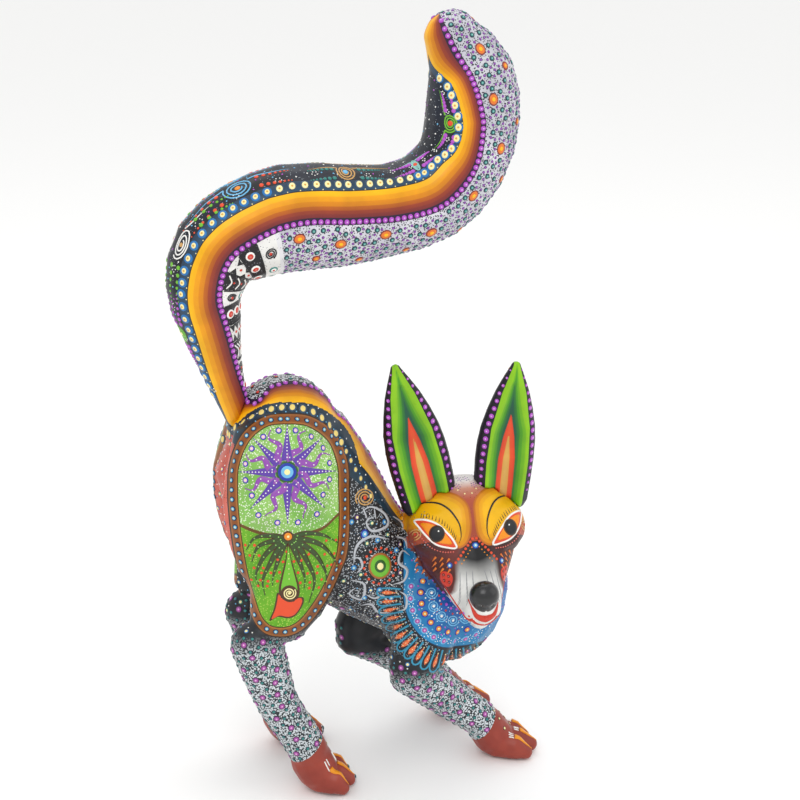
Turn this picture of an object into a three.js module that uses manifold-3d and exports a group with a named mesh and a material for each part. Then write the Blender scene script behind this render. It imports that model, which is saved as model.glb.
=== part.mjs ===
// A carved and painted copal-wood fox in a play bow, in the manner of an Oaxacan alebrije.
//
// Frame: millimetres, +Z up, +X the way the body points, +Y the fox's left. The fox stands on z = 0.
// The head looks over the right shoulder, towards -Y.
//
// The carver works the trunk, head, ears, tail and legs as separate blocks. Legs and head are glued on
// over hidden dowels; the tail and the ears only plug into sockets, so they pull off for packing.

import * as THREE from 'three';
import { mergeVertices } from 'three/addons/utils/BufferGeometryUtils.js';
import Module from 'manifold-3d';

const wasm = await Module();
wasm.setup();

// ---------------------------------------------------------------- driving dimensions, mm

const GAP = 0.3; // kept between neighbouring pieces
const FIGURE_CENTRE = [-32.3, -17.4]; // middle of the finished figure, moved onto the origin

const DOWEL = { radius: 4, length: 20, sides: 12 };
const SHOULDER_OUT = { right: 28, left: 23 }; // the breast leans to the right
const HOLE_DEPTH_ALLOWANCE = 1; // a glued dowel never bottoms out

const TAIL_ROOT = [-105, 0, 244]; // where the tail's seat meets the rump
const TAIL_LEAN = new THREE.Vector3(-0.26, 0, 0.966); // the way the tail's peg pulls out
const TAIL_PEG = { radius: 5.5, length: 24, sides: 16 };

const HEAD = { centre: [27, -25, 158], yaw: -97, pitch: 20 }; // degrees; pitch is nose down
const NECK_TOP = [26, -19, 150]; // the flat end of the neck, inside the head's mortise
const NECK_AXIS = new THREE.Vector3(0.2, -0.3, 0.93).normalize(); // the way the neck points
const EAR_PEG = { wide: 6, thick: 3.5, length: 14, root: 9, sides: 16 };
const UP = new THREE.Vector3(0, 0, 1);

// The copal wood's own colour and the main paint colour of each piece.
const COLOURS = {
  wood: 0xd9bd8c,
  trunk: 0x2b2c30,
  head: 0xc06a1c,
  ear: 0x74a80e,
  tail: 0xdf9a0a,
  hind: 0x78a832,
  fore: 0x8f9ba6,
};

// ---------------------------------------------------------------- shape tools

const vector = ([x, y, z]) => new THREE.Vector3(x, y, z);

/** A closed BufferGeometry as a manifold-3d solid. */
function solid(geometry) {
  geometry.deleteAttribute('normal');
  geometry.deleteAttribute('uv');
  const merged = mergeVertices(geometry, 1e-4);
  const mesh = new wasm.Mesh({
    numProp: 3,
    vertProperties: new Float32Array(merged.attributes.position.array),
    triVerts: new Uint32Array(merged.index.array),
  });
  return new wasm.Manifold(mesh);
}

/** A manifold-3d solid as a named mesh. */
function piece(name, shape, colour) {
  const { vertProperties, triVerts } = shape.getMesh();
  const geometry = new THREE.BufferGeometry();
  geometry.setAttribute('position', new THREE.BufferAttribute(vertProperties, 3));
  geometry.setIndex(new THREE.BufferAttribute(triVerts, 1));
  geometry.computeVertexNormals();
  const material = new THREE.MeshStandardMaterial({ color: colour, roughness: 0.45, metalness: 0 });
  const mesh = new THREE.Mesh(geometry, material);
  mesh.name = name;
  return mesh;
}

const join = (solids) => solids.reduce((whole, next) => whole.add(next));
/** The biggest body of a shape, without the slivers a cut can leave beside it. */
function mainBody(shape) {
  return shape.decompose().reduce((best, body) => (body.volume() > best.volume() ? body : best));
}

const cut = (whole, tools) => tools.reduce((left, tool) => left.subtract(tool), whole);

/**
 * A round limb through stations [x, y, z, wide, deep]: wide is its half-width along Y and deep its
 * half-width across the curve. It is a capsule bent onto the curve, so both ends are domed.
 */
function limb(stations, { sides = 16, rings = 3, swell = 0 } = {}) {
  const spine = new THREE.CatmullRomCurve3(stations.map(vector));
  const girth = new THREE.CatmullRomCurve3(
    stations.map((s) => new THREE.Vector3(s[3] + swell, s[4] + swell, 0)), false, 'catmullrom');
  const spans = stations.length - 1;
  const geometry = new THREE.CapsuleGeometry(1, spans, 3, sides, spans * rings);
  const position = geometry.attributes.position;
  const point = new THREE.Vector3();
  for (let i = 0; i < position.count; i++) {
    point.fromBufferAttribute(position, i);
    const along = THREE.MathUtils.clamp(point.y, -spans / 2, spans / 2);
    const t = along / spans + 0.5;
    const { x: wide, y: deep } = girth.getPoint(t);
    const tangent = spine.getTangent(t);
    const side = new THREE.Vector3(0, 1, 0).addScaledVector(tangent, -tangent.y).normalize();
    const up = new THREE.Vector3().crossVectors(tangent, side);
    const bent = spine.getPoint(t)
      .addScaledVector(tangent, (point.y - along) * Math.min(wide, deep))
      .addScaledVector(up, point.x * deep)
      .addScaledVector(side, point.z * wide);
    position.setXYZ(i, bent.x, bent.y, bent.z);
  }
  return geometry;
}

/** An ellipsoid of radii [x, y, z] about a centre. */
function ball(centre, radii, { sides = 16, swell = 0 } = {}) {
  const grown = radii.map((r) => r + swell);
  return new THREE.SphereGeometry(1, sides, sides / 2).scale(...grown).translate(...centre);
}

/** A round or oval rod from one point along a direction; wide and thick are its half-axes. */
function rod(from, direction, length, [wide, thick], sides) {
  const turn = new THREE.Quaternion().setFromUnitVectors(UP, direction.clone().normalize());
  return new THREE.CylinderGeometry(1, 1, length, sides)
    .rotateX(Math.PI / 2)
    .scale(wide, thick, 1)
    .translate(0, 0, length / 2)
    .applyQuaternion(turn)
    .translate(from.x, from.y, from.z);
}

const FLOOR_BLOCK = solid(new THREE.BoxGeometry(600, 600, 100).translate(0, 0, -50));

// ---------------------------------------------------------------- trunk

/** The trunk from rump to breast, with the neck; swell grows it into a cutter for its neighbours. */
function trunkForm(swell = 0) {
  const back = limb([
    [-76, 0, 206, 33, 44],
    [-60, 0, 180, 34, 44],
    [-41, 0, 151, 34, 40],
    [-19, 0, 130, 33, 36],
    [5, -2, 118, 33, 38],
  ], { sides: 18, rings: 2, swell });
  const rump = ball([-76, 0, 220], [34, 32, 37], { sides: 18, swell });
  const breast = ball([20, -6, 112], [44, 37, 50], { sides: 18, swell });
  const neck = limb([
    [14, -4, 128, 32, 34],
    [22, -12, 145, 28, 30],
    [30, -22, 162, 26, 27],
  ], { sides: 14, rings: 1, swell });
  const neckTrim = new THREE.BoxGeometry(120, 120, 60).translate(0, 0, 30 + swell)
    .applyQuaternion(new THREE.Quaternion().setFromUnitVectors(UP, NECK_AXIS))
    .translate(...NECK_TOP);
  return join([solid(back), solid(rump), solid(breast), cut(solid(neck), [solid(neckTrim)])]);
}

// ---------------------------------------------------------------- dowels

/** A glued dowel centred on a point, and the drilled hole for it. */
function dowel(centre, axis) {
  const direction = axis.clone().normalize();
  const { radius, length, sides } = DOWEL;
  const start = vector(centre).addScaledVector(direction, -length / 2);
  const holeStart = start.clone().addScaledVector(direction, -HOLE_DEPTH_ALLOWANCE);
  const holeLength = length + 2 * HOLE_DEPTH_ALLOWANCE;
  return {
    shape: solid(rod(start, direction, length, [radius, radius], sides)),
    hole: solid(rod(holeStart, direction, holeLength, [radius + GAP, radius + GAP], sides)),
  };
}

const ACROSS = new THREE.Vector3(0, 1, 0);
const dowels = {
  neck_dowel_front: dowel([31, -17, 150], NECK_AXIS),
  neck_dowel_rear: dowel([17, -17, 151], NECK_AXIS),
};
for (const [side, sign] of [['right', -1], ['left', 1]]) {
  dowels[`hip_dowel_upper_${side}`] = dowel([-84, sign * 31, 202], ACROSS);
  dowels[`hip_dowel_lower_${side}`] = dowel([-72, sign * 31, 180], ACROSS);
  dowels[`shoulder_dowel_upper_${side}`] = dowel([8, sign * (SHOULDER_OUT[side] + 4), 108], ACROSS);
  dowels[`shoulder_dowel_lower_${side}`] = dowel([0, sign * (SHOULDER_OUT[side] + 4), 93], ACROSS);
}

/** The holes of every dowel whose name holds a word, such as hip. */
function dowelHoles(word) {
  return Object.entries(dowels).filter(([name]) => name.includes(word)).map(([, { hole }]) => hole);
}

// ---------------------------------------------------------------- legs

/** How far the right (-1) and left (1) toes turn to the figure's left, in degrees. */
const TOE_TURN = { '-1': -18, 1: 0 };

/** A paw's three toes, fanned about the line from its ball to its tip and turned by an angle in degrees. */
function toes([x, y, z], reach, turn) {
  const angle = THREE.MathUtils.degToRad(turn);
  const at = (ahead, aside) => [
    x + ahead * Math.cos(angle) - aside * Math.sin(angle),
    y + ahead * Math.sin(angle) + aside * Math.cos(angle),
  ];
  return [-1, 0, 1].map((place) => {
    const short = place ? 4 : 0;
    return solid(limb([
      [...at(-3, place * 6.5), z + 2.4, 6.6, 10],
      [...at(reach * 0.5 - short / 2, place * 10), z + 0.4, 5.9, 8],
      [...at(reach - 2.5 - short, place * 10.6), z - 2.6, 4.4, 4.8],
    ], { sides: 10, rings: 1 }));
  });
}

/** A hind leg: haunch, metatarsus and paw. paw is the paw's Y; hockX and hockZ shift the hock. */
function hindLeg(sign, paw, [hockX, hockZ]) {
  const haunch = limb([
    [-84 + hockX / 2, sign * 18, 224, 20, 29],
    [-82 + hockX / 2, sign * 23, 196, 22, 38],
    [-81 + hockX / 2, sign * 26, 166, 19, 36],
    [-81 + hockX / 2, sign * 28, 138, 16, 28],
    [-89 + hockX / 2, sign * 29, 117, 14, 19],
  ], { sides: 16, rings: 2 });
  const metatarsus = limb([
    [-104 + hockX, sign * 30, 105 + hockZ, 13, 16],
    [-98 + hockX, (sign * 30 + paw) / 2, 84 + hockZ, 12, 14.5],
    [-91 + hockX / 2, paw, 62 + hockZ / 2, 11.5, 12.5],
    [-79, paw, 40, 11.5, 12],
    [-72, paw, 26, 12.5, 12],
  ], { sides: 14, rings: 2 });
  const instep = limb([
    [-71, paw, 21, 12, 13],
    [-66.5, paw, 12, 13.5, 12.8],
  ], { sides: 12, rings: 1 });
  return join([solid(haunch), solid(metatarsus), solid(instep), ...toes([-62, paw, 7.2], 17, TOE_TURN[sign])]);
}

/** A foreleg: upper arm, forearm and paw, from the shoulder's and the paw's distance along Y. */
function foreLeg(sign, shoulder, paw, elbowBack, pawBack) {
  const elbow = sign * (shoulder + 6);
  const upperArm = limb([
    [8, sign * shoulder, 114, 17, 26],
    [1 - elbowBack / 2, sign * (shoulder + 4), 94, 15, 21],
    [-7 - elbowBack, elbow, 75, 13.5, 16],
  ], { sides: 14, rings: 2 });
  const forearm = limb([
    [-8 - elbowBack, elbow, 71, 13, 15],
    [6 - elbowBack / 2, (elbow + paw) / 2, 57, 12.5, 13.5],
    [23 - pawBack, paw, 41, 11.5, 12.5],
    [41 - pawBack, paw, 26, 12, 11.5],
  ], { sides: 14, rings: 2 });
  const instep = limb([
    [44 - pawBack, paw, 22, 12.5, 12],
    [50.5 - pawBack, paw, 12, 13, 12.8],
  ], { sides: 12, rings: 1 });
  return join([solid(upperArm), solid(forearm), solid(instep), ...toes([55 - pawBack, paw, 7.2], 21.8, TOE_TURN[sign])]);
}

// ---------------------------------------------------------------- tail

/** The tail in its own frame: origin at the seat on the rump, +Z up. */
function tailForm(swell = 0) {
  return solid(limb([
    [2, 0, -8, 8, 8],
    [-3, 0, 8, 10, 10],
    [-7.5, 0, 24, 13, 12.5],
    [-13, 0, 50, 18, 18],
    [-15.5, 0, 70, 21, 22],
    [-8, 0, 90, 24, 26],
    [8, 0, 100, 26, 28.5],
    [34, 0, 106, 27, 31],
    [66, 0, 105, 26, 29.5],
    [96, 0, 106, 25, 26.5],
    [120, 0, 112, 25, 27],
    [139, 0, 130, 25, 27],
    [146, 0, 156, 24, 28],
    [144, 0, 182, 21, 25.5],
    [132, 0, 204, 14, 16],
  ], { sides: 18, rings: 2, swell }));
}

// ---------------------------------------------------------------- head and ears

/** The head in its own frame: origin in the skull, +X out along the snout, +Y its left. */
function headForm(swell = 0) {
  const face = limb([
    [2, 0, -2, 33, 26],
    [20, 0, -7, 28, 22],
    [38, 0, -13, 18.5, 16],
    [54, 0, -14, 12.5, 11.5],
  ], { sides: 16, rings: 2, swell });
  const brows = [-1, 1].map((sign) => solid(ball([9, sign * 14, 7], [21, 22, 18], { sides: 14, swell })));
  return join([
    solid(ball([-1, 0, 2], [30, 35, 29], { sides: 18, swell })),
    solid(face),
    ...brows,
    solid(ball([57, 0, -4], [7.8, 8.2, 8.6], { sides: 12, swell })),
    solid(ball([58, 0, -15.5], [8.2, 8, 8], { sides: 12, swell })),
    solid(ball([50, 0, -24.5], [12, 7.5, 6.5], { sides: 12, swell })),
  ]);
}

/** Where each ear plugs in, in the head's frame, and how it leans: out sideways and back, degrees. */
const EAR_SEATS = {
  right: { at: [-3, -21, 20], out: 15, back: -18, height: 92 },
  left: { at: [-3, 23, 19], out: -4, back: -18, height: 87 },
};

/** An ear of height h in its own frame: +Z up its length, +X out of its hollow face. */
function earForm(h) {
  const leaf = limb([
    [0, 0, -2, 17, 8.5],
    [0, 0, 0.28 * h, 18.5, 9],
    [1, 0, 0.52 * h, 17, 7.5],
    [3, 0, 0.78 * h, 10.5, 5.5],
    [5, 0, 0.97 * h, 3, 2.5],
  ], { sides: 16, rings: 2 });
  const hollow = limb([
    [9, 0, -0.1 * h, 11, 5],
    [9, 0, 0.28 * h, 13, 5.5],
    [9, 0, 0.54 * h, 11, 4.5],
    [9, 0, 0.84 * h, 3.5, 2.5],
  ], { sides: 12, rings: 2 });
  return cut(solid(leaf), [solid(hollow)]);
}

/** An ear's oval peg, or its socket when swelled by the clearance; its root is buried in the ear. */
function earPeg(swell = 0) {
  const { wide, thick, length, root, sides } = EAR_PEG;
  const reach = length + (swell ? HOLE_DEPTH_ALLOWANCE : 0);
  return rod(new THREE.Vector3(0, 0, -reach), UP, reach + root, [thick + swell, wide + swell], sides);
}

// ---------------------------------------------------------------- assembly

const figure = new THREE.Group();
figure.position.set(-FIGURE_CENTRE[0], -FIGURE_CENTRE[1], 0);
const trunkCutter = trunkForm(GAP);

/** The tail's peg, or its socket when swelled by the clearance. */
function tailPeg(seat, swell = 0) {
  const { radius, length, sides } = TAIL_PEG;
  const out = TAIL_LEAN.clone().normalize();
  const bottom = out.clone().multiplyScalar(-length - (swell ? HOLE_DEPTH_ALLOWANCE : 0)).add(seat);
  return solid(rod(bottom, out, length + 12, [radius + swell, radius + swell], sides));
}

function addTrunk() {
  const holes = Object.values(dowels).map((d) => d.hole);
  figure.add(piece('trunk', cut(trunkForm(), [...holes, tailPeg(vector(TAIL_ROOT), GAP)]), COLOURS.trunk));
}

function addLegs() {
  const tailCutter = tailForm(GAP).translate(...TAIL_ROOT);
  for (const [side, sign, paw, hock] of [['right', -1, -28, [0, 0]], ['left', 1, 34, [13, -6]]]) {
    const leg = cut(hindLeg(sign, paw, hock), [trunkCutter, tailCutter, FLOOR_BLOCK, ...dowelHoles('hip')]);
    figure.add(piece(`hind_leg_${side}`, leg, COLOURS.hind));
  }
  const stances = [['right', -1, -24, 0, 0], ['left', 1, 35, 14, 6]];
  for (const [side, sign, paw, elbowBack, pawBack] of stances) {
    const shape = foreLeg(sign, SHOULDER_OUT[side], paw, elbowBack, pawBack);
    const leg = cut(shape, [trunkCutter, FLOOR_BLOCK, ...dowelHoles('shoulder')]);
    figure.add(piece(`foreleg_${side}`, leg, COLOURS.fore));
  }
}

function addTail() {
  const group = new THREE.Group();
  group.position.set(...TAIL_ROOT);
  group.updateMatrix();
  const rump = trunkCutter.transform(group.matrix.clone().invert().elements);
  const tail = join([cut(tailForm(), [rump]), tailPeg(new THREE.Vector3())]);
  group.add(piece('tail', tail, COLOURS.tail));
  figure.add(group);
}

function addHead() {
  const group = new THREE.Group();
  group.position.set(...HEAD.centre);
  const [pitch, yaw] = [HEAD.pitch, HEAD.yaw].map(THREE.MathUtils.degToRad);
  group.rotation.set(0, pitch, yaw, 'ZYX');
  group.updateMatrix();
  const toHead = group.matrix.clone().invert();
  const neckCutters = [trunkCutter, ...dowelHoles('neck')].map((s) => s.transform(toHead.elements));
  const skullCutter = headForm(GAP);
  const earSockets = [];
  for (const [side, { at, out, back, height }] of Object.entries(EAR_SEATS)) {
    const earGroup = new THREE.Group();
    earGroup.position.set(...at);
    earGroup.rotation.set(THREE.MathUtils.degToRad(out), THREE.MathUtils.degToRad(back), 0);
    earGroup.updateMatrix();
    const toEar = earGroup.matrix.clone().invert();
    const cutters = [skullCutter, neckCutters[0]].map((s) => s.transform(toEar.elements));
    const ear = join([mainBody(cut(earForm(height), cutters)), solid(earPeg())]);
    earGroup.add(piece(`ear_${side}`, ear, COLOURS.ear));
    group.add(earGroup);
    earSockets.push(solid(earPeg(GAP).applyMatrix4(earGroup.matrix)));
  }
  group.add(piece('head', cut(headForm(), [...neckCutters, ...earSockets]), COLOURS.head));
  figure.add(group);
}

addTrunk();
addLegs();
for (const [name, { shape }] of Object.entries(dowels)) {
  figure.add(piece(name, shape, COLOURS.wood));
}
addTail();
addHead();

const root = new THREE.Group();
root.add(figure);
export default root;
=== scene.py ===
"""A carved and dot-painted fox in a play bow: smooth painted skins and raised paint on the CAD frame."""
import math
import random

import bmesh
import bpy
import numpy as np
from mathutils import Matrix, Vector
from mathutils.bvhtree import BVHTree


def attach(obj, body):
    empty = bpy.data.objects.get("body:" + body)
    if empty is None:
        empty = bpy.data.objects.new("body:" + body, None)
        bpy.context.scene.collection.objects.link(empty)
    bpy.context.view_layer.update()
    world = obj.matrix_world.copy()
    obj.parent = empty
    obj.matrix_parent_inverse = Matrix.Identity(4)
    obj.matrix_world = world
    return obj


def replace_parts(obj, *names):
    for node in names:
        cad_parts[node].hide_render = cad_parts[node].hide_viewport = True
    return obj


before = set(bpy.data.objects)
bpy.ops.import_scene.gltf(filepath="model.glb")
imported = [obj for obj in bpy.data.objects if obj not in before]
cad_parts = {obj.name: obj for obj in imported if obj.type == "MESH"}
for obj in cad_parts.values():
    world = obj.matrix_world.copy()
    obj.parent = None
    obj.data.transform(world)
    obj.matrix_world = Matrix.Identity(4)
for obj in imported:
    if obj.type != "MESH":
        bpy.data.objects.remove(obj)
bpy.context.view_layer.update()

MM = 0.001
VOXEL = 1.4  # grain of the painted skins, mm
EAR_VOXEL = 0.9
CARVER = np.array([32.3, 17.4, 0.0])  # the carver's own zero, in the row frame, mm
FIGURE_NODES = ["trunk", "head", "hind_leg_right", "hind_leg_left", "foreleg_right", "foreleg_left"]
DOWEL_NODES = [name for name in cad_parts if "dowel" in name]
TAIL_ROOT = np.array([-105.0, 0.0, 244.0]) + CARVER
TAIL_STATIONS = [
    (2, -8, 8), (-3, 8, 10), (-7.5, 24, 13), (-13, 50, 18), (-15.5, 70, 21.5), (-8, 90, 25), (8, 100, 27),
    (34, 106, 29), (66, 105, 28), (96, 106, 26), (120, 112, 26), (139, 130, 26), (146, 156, 26),
    (144, 182, 23), (132, 204, 15),
]  # x, z from the root and the mean radius, mm
HEAD_CENTRE = np.array([27.0, -25.0, 158.0]) + CARVER
HEAD_TURN = Matrix.Rotation(math.radians(-97), 3, "Z") @ Matrix.Rotation(math.radians(20), 3, "Y")
HEAD_AXES = np.array(HEAD_TURN)


# ------------------------------------------------------------------ colours

def linear(code):
    """A hex colour as the linear RGBA that Blender's sockets take."""
    parts = [int(code[i:i + 2], 16) / 255 for i in (0, 2, 4)]
    return tuple(c / 12.92 if c <= 0.04045 else ((c + 0.055) / 1.055) ** 2.4 for c in parts) + (1.0,)


INK = {
    "black": "101216", "navy": "14203A", "slate": "2E4A63", "white": "F2F1EC", "cream": "F4E7A6",
    "yellow": "F2B705", "orange": "E58A1F", "red_orange": "DE4A22", "coral": "D9675A",
    "maroon": "7E2A26", "brown": "A5622A", "tan": "C79A5B", "blue": "1F6FB0",
    "deep_blue": "1B35A0", "sky": "6BB4DE", "teal": "2F7F78", "pale_teal": "8CC4BC", "green": "6CB52A",
    "leaf": "8CC860", "dark_green": "2A5A22", "purple": "6A3A8A", "bead": "B04FC0", "lilac": "DDB0E4",
    "plum": "3A1F40", "magenta": "A0489A", "pink": "E6A6D8", "red": "C8321E", "gold": "D9A24A",
    "ray": "5B3AA0", "wave": "8E4AA8", "amber": "DF7426", "silver": "B8BCC2", "ember": "E5703F",
    "loop": "2F8FB0", "claw": "E8920C", "grey": "8A8C90", "bark": "4A2C12", "iris": "EE8E0E",
    "straw": "EBD27A", "moss": "34491E",
}


# ------------------------------------------------------------------ geometry helpers

def unit(vectors):
    return vectors / np.maximum(np.linalg.norm(vectors, axis=-1, keepdims=True), 1e-9)


def run_along(line):
    """How far along a line each of its points lies."""
    return np.concatenate([[0], np.cumsum(np.linalg.norm(np.diff(line, axis=0), axis=1))])


def add_object(name, data):
    made = bpy.data.objects.new(name, data)
    bpy.context.scene.collection.objects.link(made)
    return made


def add_piece(name, mesh, body):
    """A smooth visible piece that rides on a body."""
    mesh.polygons.foreach_set("use_smooth", [True] * len(mesh.polygons))
    made = add_object(name, mesh)
    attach(made, body)
    return made


def catmull(points, per_span=24):
    """A smooth curve through rows of numbers, sampled evenly in each span."""
    points = np.array(points, float)
    ends = np.vstack([2 * points[0] - points[1], points, 2 * points[-1] - points[-2]])
    rows = []
    for i in range(len(points) - 1):
        a, b, c, d = ends[i:i + 4]
        for t in np.arange(per_span) / per_span:
            bend = (2 * a - 5 * b + 4 * c - d) * t**2 + (3 * b - a - 3 * c + d) * t**3
            rows.append(0.5 * (2 * b + (c - a) * t + bend))
    rows.append(points[-1])
    return np.array(rows)


def merged_copy(nodes):
    """One mesh of copies of CAD nodes, with the split vertices joined again."""
    work = bmesh.new()
    for name in nodes:
        part = bmesh.new()
        part.from_mesh(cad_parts[name].data)
        bmesh.ops.remove_doubles(part, verts=part.verts, dist=0.00001)
        scratch = bpy.data.meshes.new("scratch")
        part.to_mesh(scratch)
        part.free()
        work.from_mesh(scratch)
        bpy.data.meshes.remove(scratch)
    mesh = bpy.data.meshes.new("copy")
    work.to_mesh(mesh)
    work.free()
    return mesh


def voxel_skin(nodes, voxel):
    """The outer surface of some nodes as an even quad mesh: points in mm and quads."""
    shape = add_object("shape", merged_copy(nodes))
    remesh = shape.modifiers.new("remesh", "REMESH")
    remesh.mode = "VOXEL"
    remesh.voxel_size = voxel * MM
    remesh.adaptivity = 0
    done = bpy.data.meshes.new_from_object(shape.evaluated_get(bpy.context.evaluated_depsgraph_get()))
    points = np.empty(len(done.vertices) * 3)
    done.vertices.foreach_get("co", points)
    points = points.reshape(-1, 3) / MM
    quads = np.array([tuple(face.vertices) for face in done.polygons if len(face.vertices) == 4])
    bpy.data.objects.remove(shape)
    bpy.data.meshes.remove(done)
    return biggest_island(points, quads)


def biggest_island(points, quads):
    """Drops the inner walls and crumbs that a remesh leaves."""
    label = np.arange(len(points))
    while True:
        low = label[quads].min(1)
        new = label.copy()
        for corner in range(4):
            np.minimum.at(new, quads[:, corner], low)
        new = new[new]
        if (new == label).all():
            break
        label = new
    names, counts = np.unique(label, return_counts=True)
    keep = label == names[counts.argmax()]
    order = np.cumsum(keep) - 1
    return points[keep], order[quads[keep[quads[:, 0]]]]


def smoothed(points, quads, rounds, strength):
    """Taubin smoothing; strength is one number per point from 0 to 1."""
    edges = np.unique(np.sort(np.vstack([quads[:, [i, (i + 1) % 4]] for i in range(4)]), axis=1), axis=0)
    count = np.bincount(edges.ravel(), minlength=len(points))[:, None]
    points = points.copy()
    for step in range(2 * rounds):
        total = np.zeros_like(points)
        for axis in range(3):
            total[:, axis] = np.bincount(edges[:, 0], points[edges[:, 1], axis], len(points))
            total[:, axis] += np.bincount(edges[:, 1], points[edges[:, 0], axis], len(points))
        shift = total / np.maximum(count, 1) - points
        points += shift * strength[:, None] * (0.55 if step % 2 == 0 else -0.56)
    return points


class Skin:
    """A painted surface: its mesh, its tree for landing paint on it, and its named numbers per point."""

    def __init__(self, points, quads):
        self.points = points
        self.quads = quads
        self.tree = BVHTree.FromPolygons(points.tolist(), quads.tolist())
        self.fields = {}
        normal = np.zeros_like(points)
        a, b, c, d = (points[quads[:, i]] for i in range(4))
        flat = np.cross(c - a, d - b)
        for corner in range(4):
            for axis in range(3):
                normal[:, axis] += np.bincount(quads[:, corner], flat[:, axis], len(points))
        self.normals = unit(normal)

    def piece(self, name, body, slot, material, nodes):
        mesh = bpy.data.meshes.new(name)
        mesh.from_pydata((self.points * MM).tolist(), [], self.quads.tolist())
        for key, values in self.fields.items():
            attribute = mesh.attributes.new(key, "FLOAT", "POINT")
            attribute.data.foreach_set("value", np.asarray(values, np.float32))
        mesh.materials.append(material)
        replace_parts(add_piece(name, mesh, body), *nodes)


# ------------------------------------------------------------------ skins

def figure_skin():
    points, quads = voxel_skin(FIGURE_NODES + DOWEL_NODES, VOXEL)
    head = head_frame(points)
    on_head = (head[:, 0] > -25) & (np.abs(head[:, 1]) < 40) & (np.abs(head[:, 2]) < 36)
    strength = np.where(on_head, 0.5, 1.0)
    strength = np.where(points[:, 2] < 24, 0.1, strength)
    points = smoothed(points, quads, 40, strength)
    points[:, 2] = np.maximum(points[:, 2], 0)
    return Skin(points, quads)


def head_frame(points):
    """Points in the head's own frame: x out along the snout, y to its left, z up."""
    return (points - HEAD_CENTRE) @ HEAD_AXES


def tail_skin():
    points, quads = voxel_skin(["tail"], VOXEL)
    return Skin(smoothed(points, quads, 50, np.ones(len(points))), quads)


def ear_skin(side):
    points, quads = voxel_skin([f"ear_{side}"], EAR_VOXEL)
    return Skin(smoothed(points, quads, 8, np.ones(len(points))), quads)


# ------------------------------------------------------------------ materials

class Paint:
    """A node material built up in layers over one Principled shader."""

    def __init__(self, name, roughness=0.4, coat=0.06, specular=0.34):
        self.material = bpy.data.materials.new(name)
        self.material.use_nodes = True
        self.tree = self.material.node_tree
        self.shader = self.tree.nodes["Principled BSDF"]
        self.coords = self.node("ShaderNodeTexCoord").outputs["Object"]
        varied = self.fade(self.noise(140, 2), 0.3, 0.7, roughness - 0.08, roughness + 0.1)
        self.feed(self.shader, {
            "Coat Weight": coat, "Coat Roughness": 0.3, "Specular IOR Level": specular, "Roughness": varied})

    def feed(self, node, inputs):
        """Gives each input a number, a hex colour or another node's output."""
        for key, value in inputs.items():
            if isinstance(value, bpy.types.NodeSocket):
                self.tree.links.new(value, node.inputs[key])
            else:
                node.inputs[key].default_value = linear(value) if isinstance(value, str) else value

    def node(self, kind, inputs=None, **settings):
        made = self.tree.nodes.new(kind)
        for key, value in settings.items():
            setattr(made, key, value)
        self.feed(made, inputs or {})
        return made

    def read(self, value):
        """An output as it is, or the output of the skin's field of that name."""
        if isinstance(value, str):
            return self.node("ShaderNodeAttribute", attribute_name=value).outputs["Fac"]
        return value

    def maths(self, operation, first, second):
        return self.node("ShaderNodeMath", {0: self.read(first), 1: second}, operation=operation).outputs[0]

    def above(self, value, limit):
        return self.maths("GREATER_THAN", value, limit)

    def below(self, value, limit):
        return self.maths("LESS_THAN", value, limit)

    def noise(self, scale, detail=3, coords=None):
        inputs = {"Scale": scale, "Detail": detail, "Vector": coords or self.coords}
        return self.node("ShaderNodeTexNoise", inputs).outputs["Fac"]

    def fade(self, value, low, high, start=0, end=1):
        """A value that runs from start, at low, to end, at high."""
        ends = {"From Min": low, "From Max": high, "To Min": start, "To Max": end}
        return self.node("ShaderNodeMapRange", {"Value": self.read(value), **ends}).outputs["Result"]

    def ramp(self, value, stops, mode="LINEAR"):
        """Colours along a value; stops are (value, hex)."""
        low, high = stops[0][0], stops[-1][0]
        made = self.node("ShaderNodeValToRGB", {"Fac": self.fade(value, low, high)})
        made.color_ramp.interpolation = mode
        elements = made.color_ramp.elements
        elements.remove(elements[1])
        elements[0].position = 0
        elements[0].color = linear(stops[0][1])
        for place, code in stops[1:]:
            elements.new((place - low) / (high - low)).color = linear(code)
        return made.outputs["Color"]

    def mottle(self, scale, dark, light, detail=3):
        """Soft patches between two colours."""
        return self.ramp(self.noise(scale, detail), [(0.3, dark), (0.7, light)])

    def mix(self, factor, first, second, blend="MIX"):
        """Second over first by a factor; a colour may be a hex code or an output."""
        inputs = {0: factor, 6: first, 7: second}
        return self.node("ShaderNodeMix", inputs, data_type="RGBA", blend_type=blend).outputs[2]

    def speckle(self, ground, code, scale, size, amount=1.0):
        """Fine dots of one colour over a ground."""
        cells = self.node("ShaderNodeTexVoronoi", {"Scale": scale, "Randomness": 1.0, "Vector": self.coords})
        spots = self.below(cells.outputs["Distance"], size)
        return self.mix(self.maths("MULTIPLY", spots, amount), ground, code)

    def brushed(self, ground):
        """Darker and lighter patches, as thin hand-laid paint has."""
        return self.mix(0.35, ground, self.mottle(55, "8E8E8E", "FFFFFF", 4), "MULTIPLY")

    def bump(self, scale, strength, distance):
        inputs = {"Strength": strength, "Distance": distance, "Height": self.noise(scale)}
        self.feed(self.shader, {"Normal": self.node("ShaderNodeBump", inputs).outputs["Normal"]})

    def finish(self, colour):
        self.feed(self.shader, {"Base Color": colour})
        self.bump(420, 0.35, 0.0002)
        return self.material


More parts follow.
